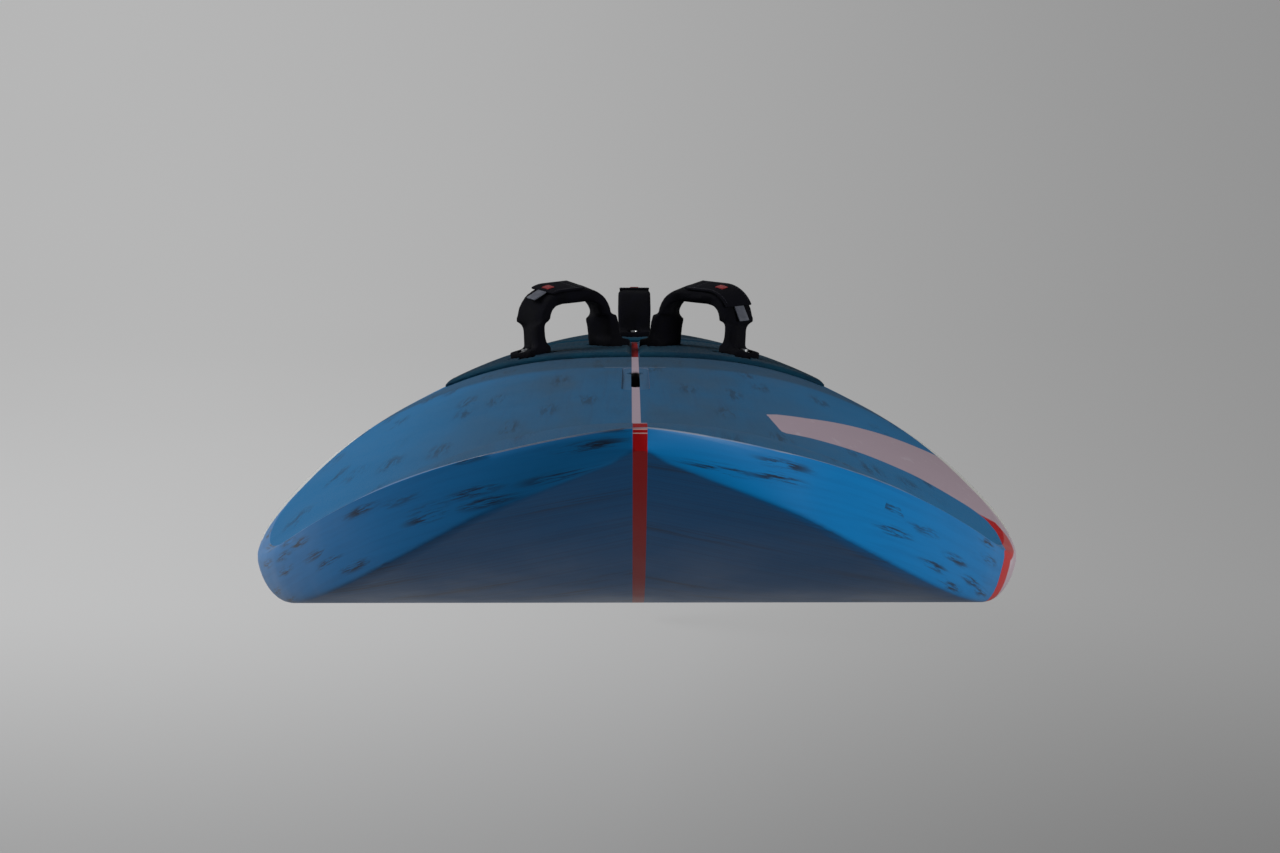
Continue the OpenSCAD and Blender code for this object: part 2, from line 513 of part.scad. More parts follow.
foam_core();
bottom_shell();
deck_shell_nose();
deck_shell();
mast_track_block();
mast_track_box();
fin_box_block();
fin_box();
fin();
fin_bolts();
fin_washers();
vent_housing();
vent_seal();
vent_screw();
plugs_front_left_outer();
plugs_front_left_inner();
plugs_front_right_outer();
plugs_front_right_inner();
plugs_rear_fore();
plugs_rear_aft();
pad_front_left();
pad_front_right();
pad_rear();
strap_left_webbing();
strap_left_cover();
strap_left_flap();
strap_left_tab();
strap_left_tag();
strap_left_plates();
strap_left_washers();
strap_left_screws();
strap_right_webbing();
strap_right_cover();
strap_right_flap();
strap_right_tab();
strap_right_tag();
strap_right_plates();
strap_right_washers();
strap_right_screws();
strap_rear_webbing();
strap_rear_cover();
strap_rear_flap();
strap_rear_tab();
strap_rear_tag();
strap_rear_plates();
strap_rear_washers();
strap_rear_screws();
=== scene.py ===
# %% [markdown]
# # A windsurf board, seen from its nose
# The board is already built as exact solids. This notebook gives it its looks: paint over a
# wood veneer, a gritty deck, grooved foam pads and sewn neoprene footstraps. It starts from the
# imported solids, which are the fixed frame that every new piece is fitted to.

# %% Load the frame
import json
import math
import bpy
import numpy as np
from mathutils import Matrix, Vector
from mathutils.bvhtree import BVHTree

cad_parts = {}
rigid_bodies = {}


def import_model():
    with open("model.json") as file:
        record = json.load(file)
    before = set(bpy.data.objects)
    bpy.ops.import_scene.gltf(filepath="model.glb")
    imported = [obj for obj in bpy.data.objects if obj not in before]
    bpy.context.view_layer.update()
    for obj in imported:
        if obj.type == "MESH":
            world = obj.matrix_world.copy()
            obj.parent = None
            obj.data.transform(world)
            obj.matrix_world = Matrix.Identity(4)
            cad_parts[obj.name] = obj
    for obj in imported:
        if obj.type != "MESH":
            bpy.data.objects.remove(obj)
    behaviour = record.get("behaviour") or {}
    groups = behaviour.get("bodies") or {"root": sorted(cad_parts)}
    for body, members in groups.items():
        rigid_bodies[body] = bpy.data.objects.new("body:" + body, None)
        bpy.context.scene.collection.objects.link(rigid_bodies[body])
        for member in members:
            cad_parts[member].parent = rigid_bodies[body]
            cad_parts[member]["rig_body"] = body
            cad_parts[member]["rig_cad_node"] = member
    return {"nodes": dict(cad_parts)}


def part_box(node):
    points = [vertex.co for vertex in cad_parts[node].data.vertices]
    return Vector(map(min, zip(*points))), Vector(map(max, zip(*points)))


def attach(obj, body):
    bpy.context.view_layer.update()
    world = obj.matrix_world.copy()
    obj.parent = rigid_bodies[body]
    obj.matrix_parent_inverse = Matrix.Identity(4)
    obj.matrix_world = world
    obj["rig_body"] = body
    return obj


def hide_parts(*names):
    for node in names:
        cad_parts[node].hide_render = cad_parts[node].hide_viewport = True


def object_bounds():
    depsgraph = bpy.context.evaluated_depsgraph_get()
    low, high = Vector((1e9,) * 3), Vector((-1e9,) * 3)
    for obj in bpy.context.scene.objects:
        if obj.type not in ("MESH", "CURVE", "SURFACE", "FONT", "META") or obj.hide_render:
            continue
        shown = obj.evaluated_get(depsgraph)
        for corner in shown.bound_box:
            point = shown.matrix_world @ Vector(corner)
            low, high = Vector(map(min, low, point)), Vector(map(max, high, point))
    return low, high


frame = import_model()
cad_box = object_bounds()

print("whole object:", [round(v, 3) for v in (*cad_box[0], *cad_box[1])])

# %% [markdown]
# ## The hull's lines
# A shaper describes a board by a few curves along its length: outline, rocker, thickness and the
# height of the rail. The same curves, in metres from the nose tip, place the paint, the pads and
# the stitching here, so that they lie on the solids without any fitting by eye.

# %% Curves along the board
LENGTH, WIDTH, THICKNESS, WIDE_AT = 2.300, 0.770, 0.127, 0.850
TAIL_WIDTH, NOSE_LIFT, ROCKER_LENGTH = 0.312, 0.228, 0.889
NOSE_THICKNESS, TAIL_THICKNESS, MIDDLE = 0.015, 0.052, 1.150
FULL_AT, THINS_FROM = 0.4, 1.1


def clamp(value, low, high):
    return np.minimum(np.maximum(value, low), high)


def half_width(along):
    front = WIDTH / 2 * (1 - clamp(1 - along / WIDE_AT, 0, 1) ** 2.64) ** (1 / 1.34)
    share = clamp((along - WIDE_AT) / (LENGTH - WIDE_AT), 0, 1)
    back = TAIL_WIDTH / 2 + (WIDTH - TAIL_WIDTH) / 2 * (1 - share ** 1.94)
    back = back * (1 - 0.3 * clamp((along - LENGTH + 0.09) / 0.09, 0, 1) ** 3)
    return np.where(along < WIDE_AT, front, back)


def rocker(along):
    return NOSE_LIFT * clamp(1 - along / ROCKER_LENGTH, 0, 1) ** 3.79


def thickness(along):
    growth = 1 - clamp(1 - along / FULL_AT, 0, 1) ** 3.25
    entry = NOSE_THICKNESS + (THICKNESS - NOSE_THICKNESS) * growth
    loss = clamp((along - THINS_FROM) / (LENGTH - THINS_FROM), 0, 1) ** 1.7
    taper = THICKNESS - (THICKNESS - TAIL_THICKNESS) * loss
    return np.where(along < FULL_AT, entry, taper)


def entry_blend(along):
    share = clamp((along - 0.05) / 0.45, 0, 1)
    return share * share * (3 - 2 * share)


def rail_height(along):
    share = entry_blend(along)
    low = NOSE_THICKNESS + 0.526 * (thickness(along) - NOSE_THICKNESS)
    return low * (1 - share) + 0.3 * thickness(along) * share


def deck_height(x, along):
    rail = rail_height(along)
    crown = clamp(1 - (np.abs(x) / half_width(along)) ** 2.71, 0, 1) ** 1.11
    return rocker(along) + rail + (thickness(along) - rail) * crown


def deck_normal(x, along, d=0.001):
    slope = [(deck_height(x - d, along) - deck_height(x + d, along)) / (2 * d),
             (deck_height(x, along - d) - deck_height(x, along + d)) / (2 * d), 1.0]
    return Vector([float(v) for v in slope]).normalized()


print("deck height at the mast track:", round(float(deck_height(0, np.float64(1.11))), 4))

# %% [markdown]
# ## Small helpers
# Everything that `load` brought in is selected, and an operator acts on all that is selected, so
# a fresh start deselects everything first. Faces are then picked in code by their place.

# %% Helpers for modelling
def fresh():
    if bpy.context.object and bpy.context.object.mode != "OBJECT":
        bpy.ops.object.mode_set(mode="OBJECT")
    bpy.ops.object.select_all(action="DESELECT")


def only(obj):
    fresh()
    obj.hide_viewport = False
    obj.hide_set(False)
    obj.select_set(True)
    bpy.context.view_layer.objects.active = obj
    return obj


def finish_mesh(obj, name, smooth=35):
    """Names a piece, puts its place into its mesh and smooths it by angle."""
    only(obj)
    bpy.ops.object.transform_apply(location=True, rotation=True, scale=True)
    obj.name = obj.data.name = name
    bpy.ops.object.shade_smooth_by_angle(angle=math.radians(smooth))
    return obj


def apply_modifier(obj, kind, **settings):
    only(obj)
    modifier = obj.modifiers.new(kind.lower(), kind)
    for key, value in settings.items():
        setattr(modifier, key, value)
    bpy.ops.object.modifier_apply(modifier=modifier.name)


def in_edit(obj, *steps):
    only(obj)
    bpy.ops.object.mode_set(mode="EDIT")
    bpy.ops.mesh.select_all(action="SELECT")
    for step in steps:
        step()
    bpy.ops.object.mode_set(mode="OBJECT")


def points_of(obj):
    flat = np.empty(len(obj.data.vertices) * 3)
    obj.data.vertices.foreach_get("co", flat)
    return flat.reshape(-1, 3)


def set_points(obj, points):
    obj.data.vertices.foreach_set("co", np.asarray(points, float).ravel())
    obj.data.update()


def store(obj, name, values):
    layer = obj.data.attributes.new(name, "FLOAT", "POINT")
    layer.data.foreach_set("value", np.asarray(values, np.float32))


def merged_copy(node):
    """A copy of a CAD node with its loose triangles merged."""
    copy = frame["nodes"][node].copy()
    copy.data = copy.data.copy()
    bpy.context.scene.collection.objects.link(copy)
    copy.parent = None
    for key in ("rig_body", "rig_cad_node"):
        if key in copy:
            del copy[key]
    in_edit(copy, lambda: bpy.ops.mesh.remove_doubles(threshold=1e-5))
    return copy


def cut(obj, cutters, solver="EXACT"):
    """Cuts several cutter solids out of obj and removes them."""
    for cutter in cutters:
        apply_modifier(obj, "BOOLEAN", object=cutter, operation="DIFFERENCE", solver=solver)
        bpy.data.objects.remove(cutter)


# %% Helpers for materials
def tone(red, green, blue):
    """A display colour, 0 to 255, as the linear colour that a shader wants."""
    def linear(v):
        v = v / 255
        return v / 12.92 if v <= 0.04045 else ((v + 0.055) / 1.055) ** 2.4
    return (linear(red), linear(green), linear(blue), 1.0)


class Look:
    """One material and short calls that add nodes to it."""

    def __init__(self, name, **constants):
        self.material = bpy.data.materials.new(name)
        self.material.use_nodes = True
        self.tree = self.material.node_tree
        self.shader = self.tree.nodes["Principled BSDF"]
        for key, value in constants.items():
            self.shader.inputs[key.replace("_", " ")].default_value = value
        self.place = self.node("ShaderNodeTexCoord").outputs["Object"]

    def node(self, kind, inputs=None, **settings):
        made = self.tree.nodes.new(kind)
        for key, value in settings.items():
            setattr(made, key, value)
        for key, value in (inputs or {}).items():
            if isinstance(value, bpy.types.NodeSocket):
                self.tree.links.new(value, made.inputs[key])
            else:
                made.inputs[key].default_value = value
        return made

    def math(self, operation, a, b=0.0, c=0.0):
        return self.node("ShaderNodeMath", {0: a, 1: b, 2: c}, operation=operation).outputs[0]

    def ramp(self, value, low, high, to_low=0.0, to_high=1.0):
        """Turns low..high smoothly into to_low..to_high, and holds outside."""
        return self.node("ShaderNodeMapRange", {0: value, 1: low, 2: high, 3: to_low, 4: to_high},
                         interpolation_type="SMOOTHSTEP").outputs[0]

    def mix(self, share, a, b, blend="MIX"):
        return self.node("ShaderNodeMix", {0: share, 6: a, 7: b}, data_type="RGBA",
                         blend_type=blend).outputs[2]

    def noise(self, scale, detail=3.0, rough=0.55, stretch=(1, 1, 1), where=None, warp=0.0):
        place = self.node("ShaderNodeMapping", {"Vector": where or self.place, "Scale": stretch})
        return self.node("ShaderNodeTexNoise", {
            "Vector": place.outputs[0], "Scale": scale, "Detail": detail, "Roughness": rough,
            "Distortion": warp}).outputs["Fac"]

    def attribute(self, name):
        return self.node("ShaderNodeAttribute", attribute_name=name).outputs["Fac"]

    def axis(self, index):
        return self.node("ShaderNodeSeparateXYZ", {0: self.place}).outputs[index]

    def bump(self, height, strength, distance, under=None):
        inputs = {"Height": height, "Strength": strength, "Distance": distance}
        if under:
            inputs["Normal"] = under
        return self.node("ShaderNodeBump", inputs).outputs[0]

    def set(self, **sockets):
        for key, value in sockets.items():
            self.tree.links.new(value, self.shader.inputs[key.replace("_", " ")])
        return self.material


def dress(obj, material):
    obj.data.materials.clear()
    obj.data.materials.append(material)
    return obj


def dress_nodes(material, *names):
    for name in names:
        node = frame["nodes"][name]
        if not node.material_slots:
            node.data.materials.append(material)
        for slot in node.material_slots:
            slot.material = material


# %% [markdown]
# ## Camera
# A short portrait distance of a little over a metre, nine degrees above the nose, with a normal
# 50 mm lens. Being this close makes the nose large and the tail small, which is what shows the
# underside's scoop and the far straps at once.

# %% Camera
camera = bpy.data.objects.new("camera", bpy.data.cameras.new("camera"))
bpy.context.scene.collection.objects.link(camera)
camera.location = (-0.006, -2.279, 0.425)
camera.rotation_euler = (math.radians(80.85), 0, math.radians(-0.3))
camera.data.lens, camera.data.sensor_width = 50, 36
camera.data.clip_end = 60
bpy.context.scene.camera = camera
print("camera", tuple(round(v, 3) for v in camera.location))

# %% [markdown]
# ## Studio
# A sheet of grey paper that runs under the board and sweeps up behind it has no line where
# the floor meets the wall. A cube's two faces would show that line, so a grid is bent up along a
# quarter circle instead. Its grey carries painted light: lighter on the left, as a painted pool of
# window light, and darker near the camera, as painted shade. It also glows with that grey for the
# camera and in reflections, though it is no lamp.

# %% Paper sweep
FLOOR = cad_box[0].z - 0.045
fresh()
bpy.ops.mesh.primitive_grid_add(x_subdivisions=24, y_subdivisions=96, size=1)
paper = bpy.context.object
flat = points_of(paper)
run = (flat[:, 1] + 0.5) * 26 - 8
bend_at, bend_radius = 6.0, 4.0
turn = clamp((run - bend_at) / bend_radius, 0, math.pi / 2)
past = clamp(run - bend_at - bend_radius * math.pi / 2, 0, 99)
flat[:, 0] *= 30
flat[:, 1] = np.minimum(run, bend_at) + bend_radius * np.sin(turn)
flat[:, 2] = FLOOR + bend_radius * (1 - np.cos(turn)) + past
set_points(paper, flat)
finish_mesh(paper, "paper_sweep", 80)

look = Look("studio_paper", Roughness=0.9)
away = look.math("MAXIMUM", look.math("ADD", look.axis(1), 2.5), 1.0)
across = look.math("DIVIDE", look.axis(0), away)
across = look.ramp(across, -0.34, 0.50)
cloud = look.noise(0.35, 2.0)
# Painted light: lighter on the left as from a window, darker near the camera as painted shade.
far_grey = look.mix(across, tone(202, 202, 202), tone(158, 158, 158))
near_grey = look.mix(across, tone(124, 124, 124), tone(94, 94, 94))
grey = look.mix(look.ramp(look.axis(1), -1.5, 1.2), near_grey, far_grey)
grey = look.mix(look.math("MULTIPLY", cloud, 0.10), grey, tone(160, 160, 160))
look.tree.links.new(grey, look.shader.inputs["Base Color"])
# The paper glows with its painted grey for camera and glossy rays, though it is no lamp.
camera_ray = look.node("ShaderNodeLightPath")
glow = look.node("ShaderNodeEmission", {"Color": grey, "Strength": 0.98}).outputs[0]
seen = look.math("MULTIPLY", camera_ray.outputs["Is Camera Ray"], 0.80)
seen = look.math("MAXIMUM", seen, look.math("MULTIPLY", camera_ray.outputs["Is Glossy Ray"], 0.80))
blend_shader = look.node("ShaderNodeMixShader", {0: seen, 1: look.shader.outputs[0], 2: glow})
look.tree.links.new(blend_shader.outputs[0], look.tree.nodes["Material Output"].inputs[0])
dress(paper, look.material)
print("floor at", round(FLOOR, 3))

# %% [markdown]
# ## Light
# Two big soft boxes: one up on the left lights the deck, and one low on the right lights the nose
# and the right rail. The left side of the nose turns away from both and stays dark, but for a
# soft sheen from a narrow strip. Small lamps would put hard white lines on the glossy rails.

# %% Lamps
def soft_box(name, place, aim, size, watts, colour=(1, 1, 1)):
    lamp = bpy.data.lights.new(name, "AREA")
    lamp.shape, lamp.energy, lamp.color = "RECTANGLE", watts, colour
    lamp.size, lamp.size_y = size
    obj = bpy.data.objects.new(name, lamp)
    bpy.context.scene.collection.objects.link(obj)
    obj.location = place
    obj.rotation_euler = (Vector(aim) - Vector(place)).to_track_quat("-Z", "Y").to_euler()
    return obj


soft_box("window_left", (-3.4, 0.5, 2.4), (0, 0, 0), (2.6, 2.2), 105, (0.97, 0.98, 1.0))
soft_box("window_right", (3.2, -3.1, 0.9), (0, -0.8, 0.1), (1.6, 1.8), 92, (1.0, 0.99, 0.97))
soft_box("strip_left", (-2.3, -2.7, 0.9), (-0.2, -0.9, 0.1), (0.3, 1.0), 3.5)
world = bpy.data.worlds.new("overcast")
bpy.context.scene.world = world
world.use_nodes = True
world.node_tree.nodes["Background"].inputs["Color"].default_value = (0.93, 0.96, 1.0, 1)
world.node_tree.nodes["Background"].inputs["Strength"].default_value = 0.12
bpy.context.scene.view_settings.view_transform = "Standard"

# %% [markdown]
# ## Hull skin
# The real hull is a foam core under thin skins of cloth and veneer, all hidden by one coat of
# paint, so the two solids of the deck and bottom are shown as one painted skin. A plain grid is
# bent round the hull's own curves: one way of the grid runs from nose to tail, the other once
# round the section. A sculpted cube would wander off the lines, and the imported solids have
# flats that a low light would show. The rail is a hard corner at the nose that grows rounder.

# %% Section of the hull
STATIONS, DECK_STEPS, TUCK_STEPS, BASE_STEPS = 210, 40, 10, 14
SKIN = 0.004
HALF_STEPS = DECK_STEPS + TUCK_STEPS + BASE_STEPS


def half_section(along):
    """Right half of a section, deck centre to bottom centre: x, z, arc length, apex, tuck end."""
    w, low = float(half_width(along)), float(rocker(along))
    apex = low + float(rail_height(along))
    rounding = clamp((along - 0.015) / 0.06, 0, 1)
    rounding = 0.014 * (1 - rounding * rounding * (3 - 2 * rounding))
    tuck = min(0.002 + 0.018 * float(entry_blend(along)) + rounding, w / 2)
    t = np.linspace(0, 1, DECK_STEPS + 1)
    x = w * (1 - (1 - t) ** 1.5)
    z = deck_height(x, along)
    turn = np.linspace(math.pi / 2, 0, TUCK_STEPS + 1)[1:]
    x = np.concatenate([x, w - tuck + tuck * np.sin(turn)])
    z = np.concatenate([z, apex - (apex - low) * np.cos(turn)])
    x = np.concatenate([x, np.linspace(w - tuck, 0, BASE_STEPS + 1)[1:]])
    z = np.concatenate([z, np.full(BASE_STEPS, low)])
    arc = np.concatenate([[0], np.cumsum(np.hypot(np.diff(x), np.diff(z)))])
    corner = arc[DECK_STEPS]
    share = clamp((along - 0.16) / 0.75, 0, 1)
    reach = min(0.0008 + 0.024 * share * share * (3 - 2 * share), w * 0.25)
    inside = np.abs(arc - corner) < reach
    s = (arc[inside] - corner + reach) / (2 * reach)
    ends = [np.array([np.interp(corner + d, arc, x), np.interp(corner + d, arc, z)])
            for d in (-reach, reach)]
    tip = np.array([w, apex])
    rounded = ((1 - s) ** 2)[:, None] * ends[0] + (2 * s * (1 - s))[:, None] * tip
    rounded = rounded + (s ** 2)[:, None] * ends[1]
    x[inside], z[inside] = rounded[:, 0], rounded[:, 1]
    return x, z, arc, corner, arc[DECK_STEPS + TUCK_STEPS]


share = np.linspace(0, 1, STATIONS + 1)
near, far = share ** 1.7, (1 - share) ** 1.2
along_at = 0.001 + (LENGTH - 0.0012) * near / (near + far)
sections = [half_section(a) for a in along_at]
print("stations:", len(sections), "points round each:", 2 * HALF_STEPS)

# %% Grid bent round the sections
fresh()
bpy.ops.mesh.primitive_grid_add(x_subdivisions=STATIONS, y_subdivisions=2 * HALF_STEPS, size=2)
hull = bpy.context.object
grid = points_of(hull)
row = np.rint((grid[:, 0] + 1) / 2 * STATIONS).astype(int)
column = np.rint((grid[:, 1] + 1) / 2 * 2 * HALF_STEPS).astype(int)
side = np.where(column < HALF_STEPS, -1.0, 1.0)
step = np.abs(column - HALF_STEPS)
table_x, table_z, table_arc = (np.array([s[k] for s in sections]) for k in (0, 1, 2))
corner_arc, tuck_arc = (np.array([s[k] for s in sections]) for k in (3, 4))
hull_points = np.stack([side * table_x[row, step], along_at[row] - MIDDLE, table_z[row, step]], 1)
set_points(hull, hull_points)
arc = table_arc[row, step]
inset = corner_arc[row] - arc
on_deck = inset > 0
inset = np.where(on_deck, half_width(along_at)[row] - np.abs(hull_points[:, 0]), inset)
lay = hull.data.uv_layers[0]
lay.name = "lay"
corner_vertex = np.empty(len(hull.data.loops), np.int32)
hull.data.loops.foreach_get("vertex_index", corner_vertex)
flat_uv = np.stack([(side * arc)[corner_vertex], along_at[row][corner_vertex]], 1)
lay.data.foreach_set("uv", flat_uv.astype(np.float32).ravel())
rail_line = np.stack([half_width(along_at), along_at, rocker(along_at) + rail_height(along_at)], 1)
rail_run = np.append(0, np.cumsum(np.linalg.norm(np.diff(rail_line, axis=0), axis=1)))
rail_uv = np.stack([(side + inset)[corner_vertex], rail_run[row][corner_vertex]], 1)
hull.data.uv_layers.new(name="rail").data.foreach_set("uv", rail_uv.astype(np.float32).ravel())
print("points in the grid:", len(grid))

# %% [markdown]
# ## The painted band
# On the right-hand rail a pale band sweeps in from the deck, round the rail and under it, with a
# red line along its forward edge. Its outline is drawn on the unrolled skin: how far in from the
# rail, and how far along. Each point of the skin stores its distance to that outline, and the
# paint is then cut by a threshold, which stays crisp at any size.

# %% Distance to the band's outline
BAND = [(0.239, 0.857), (0.190, 0.874), (0.121, 0.920), (0.048, 0.974), (0.008, 1.005),
        (-0.02, 1.03), (-0.075, 1.06), (-0.075, 0.340), (-0.020, 0.351), (0.0, 0.361),
        (0.006, 0.400), (0.013, 0.450), (0.020, 0.528), (0.028, 0.583), (0.042, 0.614),
        (0.059, 0.632), (0.092, 0.669), (0.146, 0.702), (0.201, 0.725), (0.229, 0.730)]
SQUEEZE = 0.3


def outline_distance(across, along, outline):
    """Distance to a closed outline, above zero inside it; lengthwise distance counts less."""
    p = np.stack([across, along * SQUEEZE], 1)
    best = np.full(len(p), 9.0)
    within = np.zeros(len(p), bool)
    ring = [np.array([a, b * SQUEEZE]) for a, b in outline]
    for a, b in zip(ring, ring[1:] + ring[:1]):
        d = b - a
        t = clamp(((p - a) @ d) / (d @ d), 0, 1)
        best = np.minimum(best, np.linalg.norm(p - a - t[:, None] * d, axis=1))
        crosses = (a[1] > p[:, 1]) != (b[1] > p[:, 1])
        with np.errstate(divide="ignore", invalid="ignore"):
            edge = (b[0] - a[0]) * (p[:, 1] - a[1]) / (b[1] - a[1]) + a[0]
        within ^= crosses & (p[:, 0] < edge)
    return np.where(within, best, -best)


band = outline_distance(inset, along_at[row], BAND)
band = np.where(hull_points[:, 0] > 0, band, -0.2)
grit_edge = 0.013 * clamp((along_at[row] - 0.05) / 0.12, 0, 1) ** 1.25
store(hull, "band", band)
store(hull, "grit", inset - grit_edge)
store(hull, "base", arc - tuck_arc[row])
print("points inside the band:", int((band > 0).sum()))

# %% Close the skin and give it its thickness
def close_ring():
    bpy.ops.mesh.remove_doubles(threshold=2e-5)
    bpy.ops.mesh.fill_holes(sides=0)
    bpy.ops.mesh.normals_make_consistent(inside=False)


in_edit(hull, close_ring)
apply_modifier(hull, "SOLIDIFY", thickness=SKIN, offset=-1, use_even_offset=False)
print("skin faces:", len(hull.data.polygons))

# %% [markdown]
# ## Holes in the skin
# Each built-in piece needs its hole: the mast track, the plug strips under the straps, the vent,
# the fin box and the two bolt wells. They are cut by one Boolean with all the cutters joined,
# because each extra Boolean goes over the whole skin again.

# %% Cutters
FIN_BOLTS = (0.905, 0.975)


def slot_cutter(low, high, z_low, z_high):
    """A stadium-shaped cutter: a block whose two ends are half cylinders."""
    width = high[0] - low[0]
    fresh()
    bpy.ops.mesh.primitive_cylinder_add(vertices=48, radius=width / 2, depth=z_high - z_low,
                                        location=((low[0] + high[0]) / 2, 0, (z_low + z_high) / 2))
    made = bpy.context.object
    bpy.ops.object.transform_apply(location=True)
    p = points_of(made)
    centre, half = (low[1] + high[1]) / 2, (high[1] - low[1] - width) / 2
    p[:, 1] += np.where(p[:, 1] > 1e-6, centre + half, centre - half)
    set_points(made, p)
    return made


def well_cutter(y, radius, z_low):
    centre, r = Vector((0, y, 0)), Vector((radius, radius + 1e-5, 0))
    return slot_cutter(centre - r, centre + r, z_low, 0.12)


def strip_cutter(node, grow=0.0003):
    """A copy of a plug strip's outline, made a little larger and taller."""
    top = merged_copy(node)
    in_edit(top, lambda: bpy.ops.mesh.convex_hull())
    p = points_of(top)
    centre = (p.max(0) + p.min(0)) / 2
    p = centre + (p - centre) * (1 + 2 * grow / (p.max(0) - p.min(0)))
    p[:, 2] += np.where(p[:, 2] > centre[2], 0.006, 0)
    set_points(top, p)
    return top


cutters = []
track_low, track_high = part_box("mast_track_box")
gap = Vector((0.0003, 0.0003, 0))
cutters.append(slot_cutter(track_low - gap, track_high + gap, 0.10, 0.15))
box_low, box_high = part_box("fin_box")
cutters.append(slot_cutter(box_low - gap, box_high + gap, -0.01, 0.012))
vent_low, vent_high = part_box("vent_housing")
cutters.append(slot_cutter(vent_low - gap, vent_high + gap, 0.09, 0.115))
cutters += [well_cutter(y, 0.010, 0.045) for y in FIN_BOLTS]
STRIPS = [n for n in frame["nodes"] if n.startswith("plugs_")]
cutters += [strip_cutter(n) for n in STRIPS]
fresh()
for cutter in cutters:
    cutter.select_set(True)
bpy.context.view_layer.objects.active = cutters[0]
bpy.ops.object.join()
all_cutters = bpy.context.object
cut(hull, [all_cutters], "EXACT")
finish_mesh(hull, "hull_skin", 28)
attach(hull, "board")
deck_nodes = [n for n in frame["nodes"] if n.startswith("deck_shell")]
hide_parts("bottom_shell", *deck_nodes)
print("hull skin:", len(hull.data.polygons), "faces;", len(cutters), "cutters")

# %% [markdown]
# ## Paint
# Under the paint lies a thin wood veneer, stained blue. Its grain runs the length of the board and
# its knots show as dark streaks. The deck inside the rails is sprayed with grit for the feet,
# which makes it matt, greyer and speckled, and the rails and bottom stay glossy. The bottom is
# given a darker blue than the rails as painted shade, for it faces down. All of it is one
# material, because one coat covers the whole hull: the stored distances choose the zone.

# %% Paint zones
STRIPE = 0.0048
PAD_START, NOSE_RED_END = 1.380 - MIDDLE, -1.117
GRIT_BLUE, GRIT_GREY = tone(34, 104, 150), tone(50, 96, 130)
# The bottom's blue is darker than the rails' blue as painted shade, for the bottom faces down.
RAIL_BLUE, SHADED_BOTTOM_BLUE = tone(0, 122, 190), tone(0, 92, 150)
KNOT, RED, PALE = tone(26, 23, 28), tone(166, 4, 10), tone(196, 176, 188)


def veneer(look, where, wide, long):
    """Soft lengthwise grain, and knots: one dark streak in about half of the wide by long cells."""
    grain = look.noise(1.0, 4.0, 0.6, (170, 7, 1), where, 0.3)
    cells = look.node("ShaderNodeMapping", {"Vector": where, "Scale": (1 / wide, 1 / long, 1)})
    cells = look.node("ShaderNodeTexVoronoi", {"Vector": cells.outputs[0], "Scale": 1.0},
                      voronoi_dimensions="2D")
    chosen = look.node("ShaderNodeSeparateColor", {0: cells.outputs["Color"]}).outputs[0]
    streak = look.noise(1.0, 5.0, 0.7, (5 / wide, 2.2 / long, 1), where, 0.15)
    dark = look.math("MULTIPLY", look.ramp(cells.outputs["Distance"], 0.08, 0.46, 1, 0),
                     look.ramp(chosen, 0.42, 0.56))
    return grain, look.math("MULTIPLY", dark, look.ramp(streak, 0.44, 0.58))


def stripe_share(look):
    """1 on the stripe along the centreline."""
    return look.ramp(look.math("ABSOLUTE", look.axis(0)), STRIPE - 0.0002, STRIPE + 0.0002, 1, 0)


def grit_finish(look, grain, dark):
    """The gritty deck: specks of sand in blue-grey paint, the pale stripe along it, and a painted
    reflection.
    """
    sand = look.noise(1500.0, 2.0, 0.7)
    speck = look.ramp(sand, 0.42, 0.62)
    y = look.axis(1)
    cloudy = look.noise(9.0, 3.0, 0.6, (1, 0.35, 1))
    base = look.mix(look.ramp(cloudy, 0.35, 0.65), GRIT_BLUE, GRIT_GREY)
    grained = look.math("MULTIPLY", look.ramp(grain, 0.45, 0.7), 0.30)
    base = look.mix(grained, base, tone(44, 84, 122))
    outer = look.ramp(look.math("ABSOLUTE", look.axis(0)), 0.08, 0.30, 0, 0.75)
    base = look.mix(outer, base, tone(18, 128, 190))
    base = look.mix(look.math("MULTIPLY", dark, 0.5), base, KNOT)
    # Darker band between the mast track and the front pad: painted reflection of the dark straps.
    wear_and_painted_reflection = look.math("MULTIPLY", look.ramp(y, 0.055, 0.10), look.ramp(y, PAD_START, 0.25, 1, 0))
    base = look.mix(look.math("MULTIPLY", wear_and_painted_reflection, 0.6), base, tone(44, 68, 84))
    base = look.mix(look.math("MULTIPLY", speck, 0.20), base, tone(120, 142, 162))
    pale = look.mix(look.ramp(y, PAD_START - 0.001, PAD_START + 0.001), PALE, RED)
    pale = look.mix(look.math("MULTIPLY", speck, 0.12), pale, tone(120, 100, 112))
    pale = look.mix(look.ramp(y, NOSE_RED_END - 0.001, NOSE_RED_END + 0.001, 1, 0), pale, RED)
    base = look.mix(stripe_share(look), base, pale)
    ticks = look.math("MULTIPLY", look.ramp(look.math("ABSOLUTE", look.math("SUBTRACT", y, 0.079)),
                                            0.0010, 0.0016, 0.45, 0),
                      look.ramp(look.math("ABSOLUTE", look.axis(0)), 0.040, 0.042, 1, 0))
    return look.mix(ticks, base, tone(190, 190, 196)), sand


# %% Paint of the whole hull
paint = Look("stained_veneer_paint", IOR=1.5, Specular_IOR_Level=0.24)
unrolled = paint.node("ShaderNodeUVMap", uv_map="lay").outputs[0]
grain, dark = veneer(paint, unrolled, 0.040, 0.16)
grit_colour, sand = grit_finish(paint, grain, dark)
gritty = paint.ramp(paint.attribute("grit"), -0.0006, 0.0006)
# Share of the bottom, where the darker blue of painted shade goes.
shaded_bottom_share = paint.ramp(paint.attribute("base"), -0.004, 0.001)

